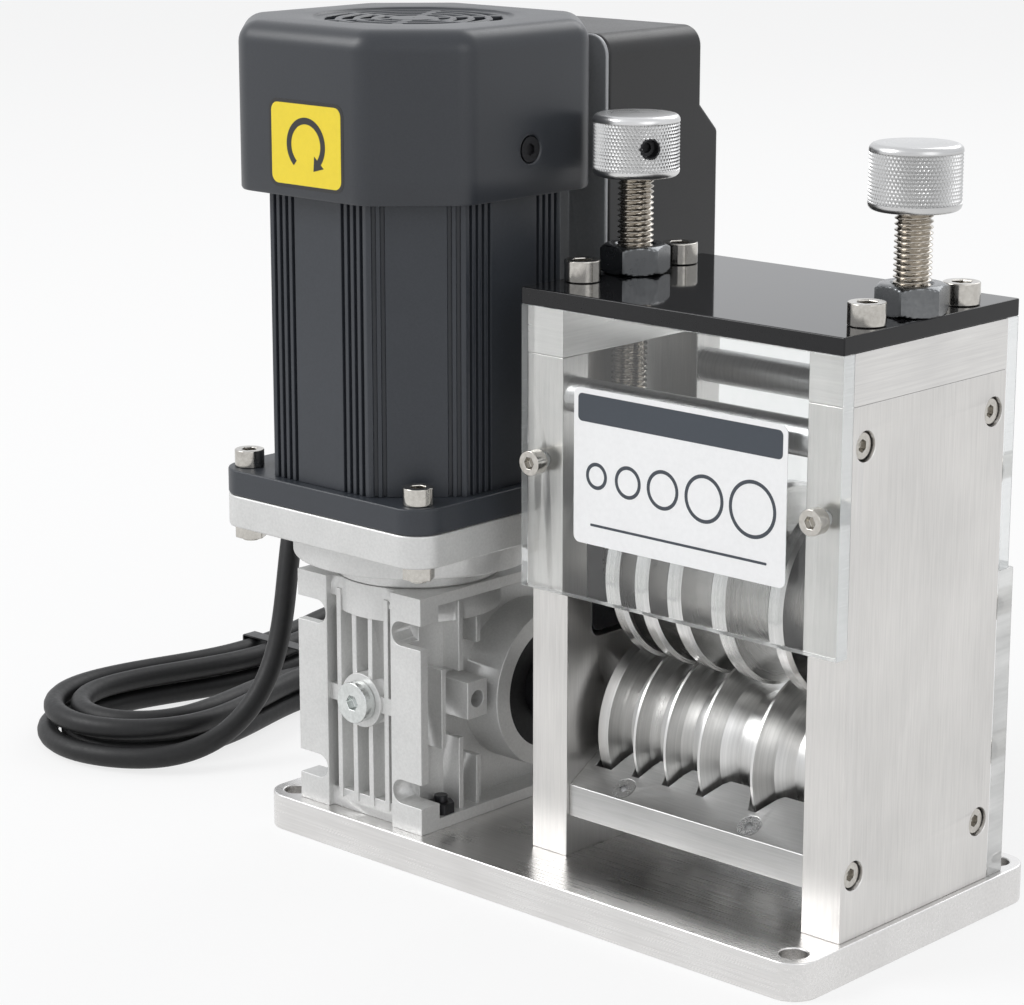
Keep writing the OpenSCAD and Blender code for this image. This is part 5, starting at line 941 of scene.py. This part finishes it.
# stage: a pale floor and a white world, both brighter where the camera sees them straight, mirrored
# or through clear sheet, and soft lamps as (name, place, size, power)
stageSpec = {
    "floorHalf": 14, "floorColour": (0.86, 0.86, 0.86, 1), "floorRough": 0.9,
    "floorGloss": 0.1, "floorGlow": 0.78,
    "skyColour": (0.97, 0.98, 1.0, 1), "sky": 0.62, "skySeen": 0.38, "aim": (0, 0, 0.1),
    "lamps": [
        ("key", (-1.1, -1.2, 1.4), 1.2, 20.0),
        ("fill", (1.6, -0.5, 0.9), 1.2, 4.0),
        ("back", (-0.2, 1.5, 1.4), 1.2, 8.0),
    ],
}


def raysSeen(tree):
    path = tree.nodes.new("ShaderNodeLightPath")
    mirrored = mathNode(tree, "MAXIMUM", path.outputs["Is Camera Ray"], path.outputs["Is Glossy Ray"])
    return mathNode(tree, "MAXIMUM", mirrored, path.outputs["Is Transmission Ray"])


def makeFloor(s):
    mesh = bpy.data.meshes.new("floor")
    h = s["floorHalf"]
    mesh.from_pydata([(-h, -h, 0), (h, -h, 0), (h, h, 0), (-h, h, 0)], [], [(0, 1, 2, 3)])
    floor = bpy.data.objects.new("floor", mesh)
    bpy.context.collection.objects.link(floor)
    mat, tree, bsdf = newLook("paleFloor")
    bsdf.inputs["Base Color"].default_value = s["floorColour"]
    bsdf.inputs["Roughness"].default_value = s["floorRough"]
    bsdf.inputs["Specular IOR Level"].default_value = s["floorGloss"]
    glow = tree.nodes.new("ShaderNodeEmission")
    mix = tree.nodes.new("ShaderNodeMixShader")
    tree.links.new(mathNode(tree, "MULTIPLY", raysSeen(tree), s["floorGlow"]), mix.inputs["Fac"])
    tree.links.new(bsdf.outputs[0], mix.inputs[1])
    tree.links.new(glow.outputs[0], mix.inputs[2])
    tree.links.new(mix.outputs[0], tree.nodes["Material Output"].inputs["Surface"])
    mesh.materials.append(mat)


def makeLight(s):
    world = bpy.data.worlds.new("studio")
    bpy.context.scene.world = world
    world.use_nodes = True
    tree = world.node_tree
    back = tree.nodes["Background"]
    extra = mathNode(tree, "MULTIPLY", raysSeen(tree), s["skySeen"])
    tree.links.new(mathNode(tree, "ADD", extra, s["sky"]), back.inputs["Strength"])
    back.inputs["Color"].default_value = s["skyColour"]
    for name, place, size, power in s["lamps"]:
        data = bpy.data.lights.new(name, "AREA")
        data.shape = "DISK"
        data.size = size
        data.energy = power
        lamp = bpy.data.objects.new(name, data)
        lamp.location = place
        lamp.rotation_mode = "QUATERNION"
        lamp.rotation_quaternion = (Vector(place) - Vector(s["aim"])).to_track_quat("Z", "Y")
        bpy.context.collection.objects.link(lamp)
    bpy.context.scene.view_settings.view_transform = "Standard"


makeFloor(stageSpec)
makeLight(stageSpec)
print("stage lit")
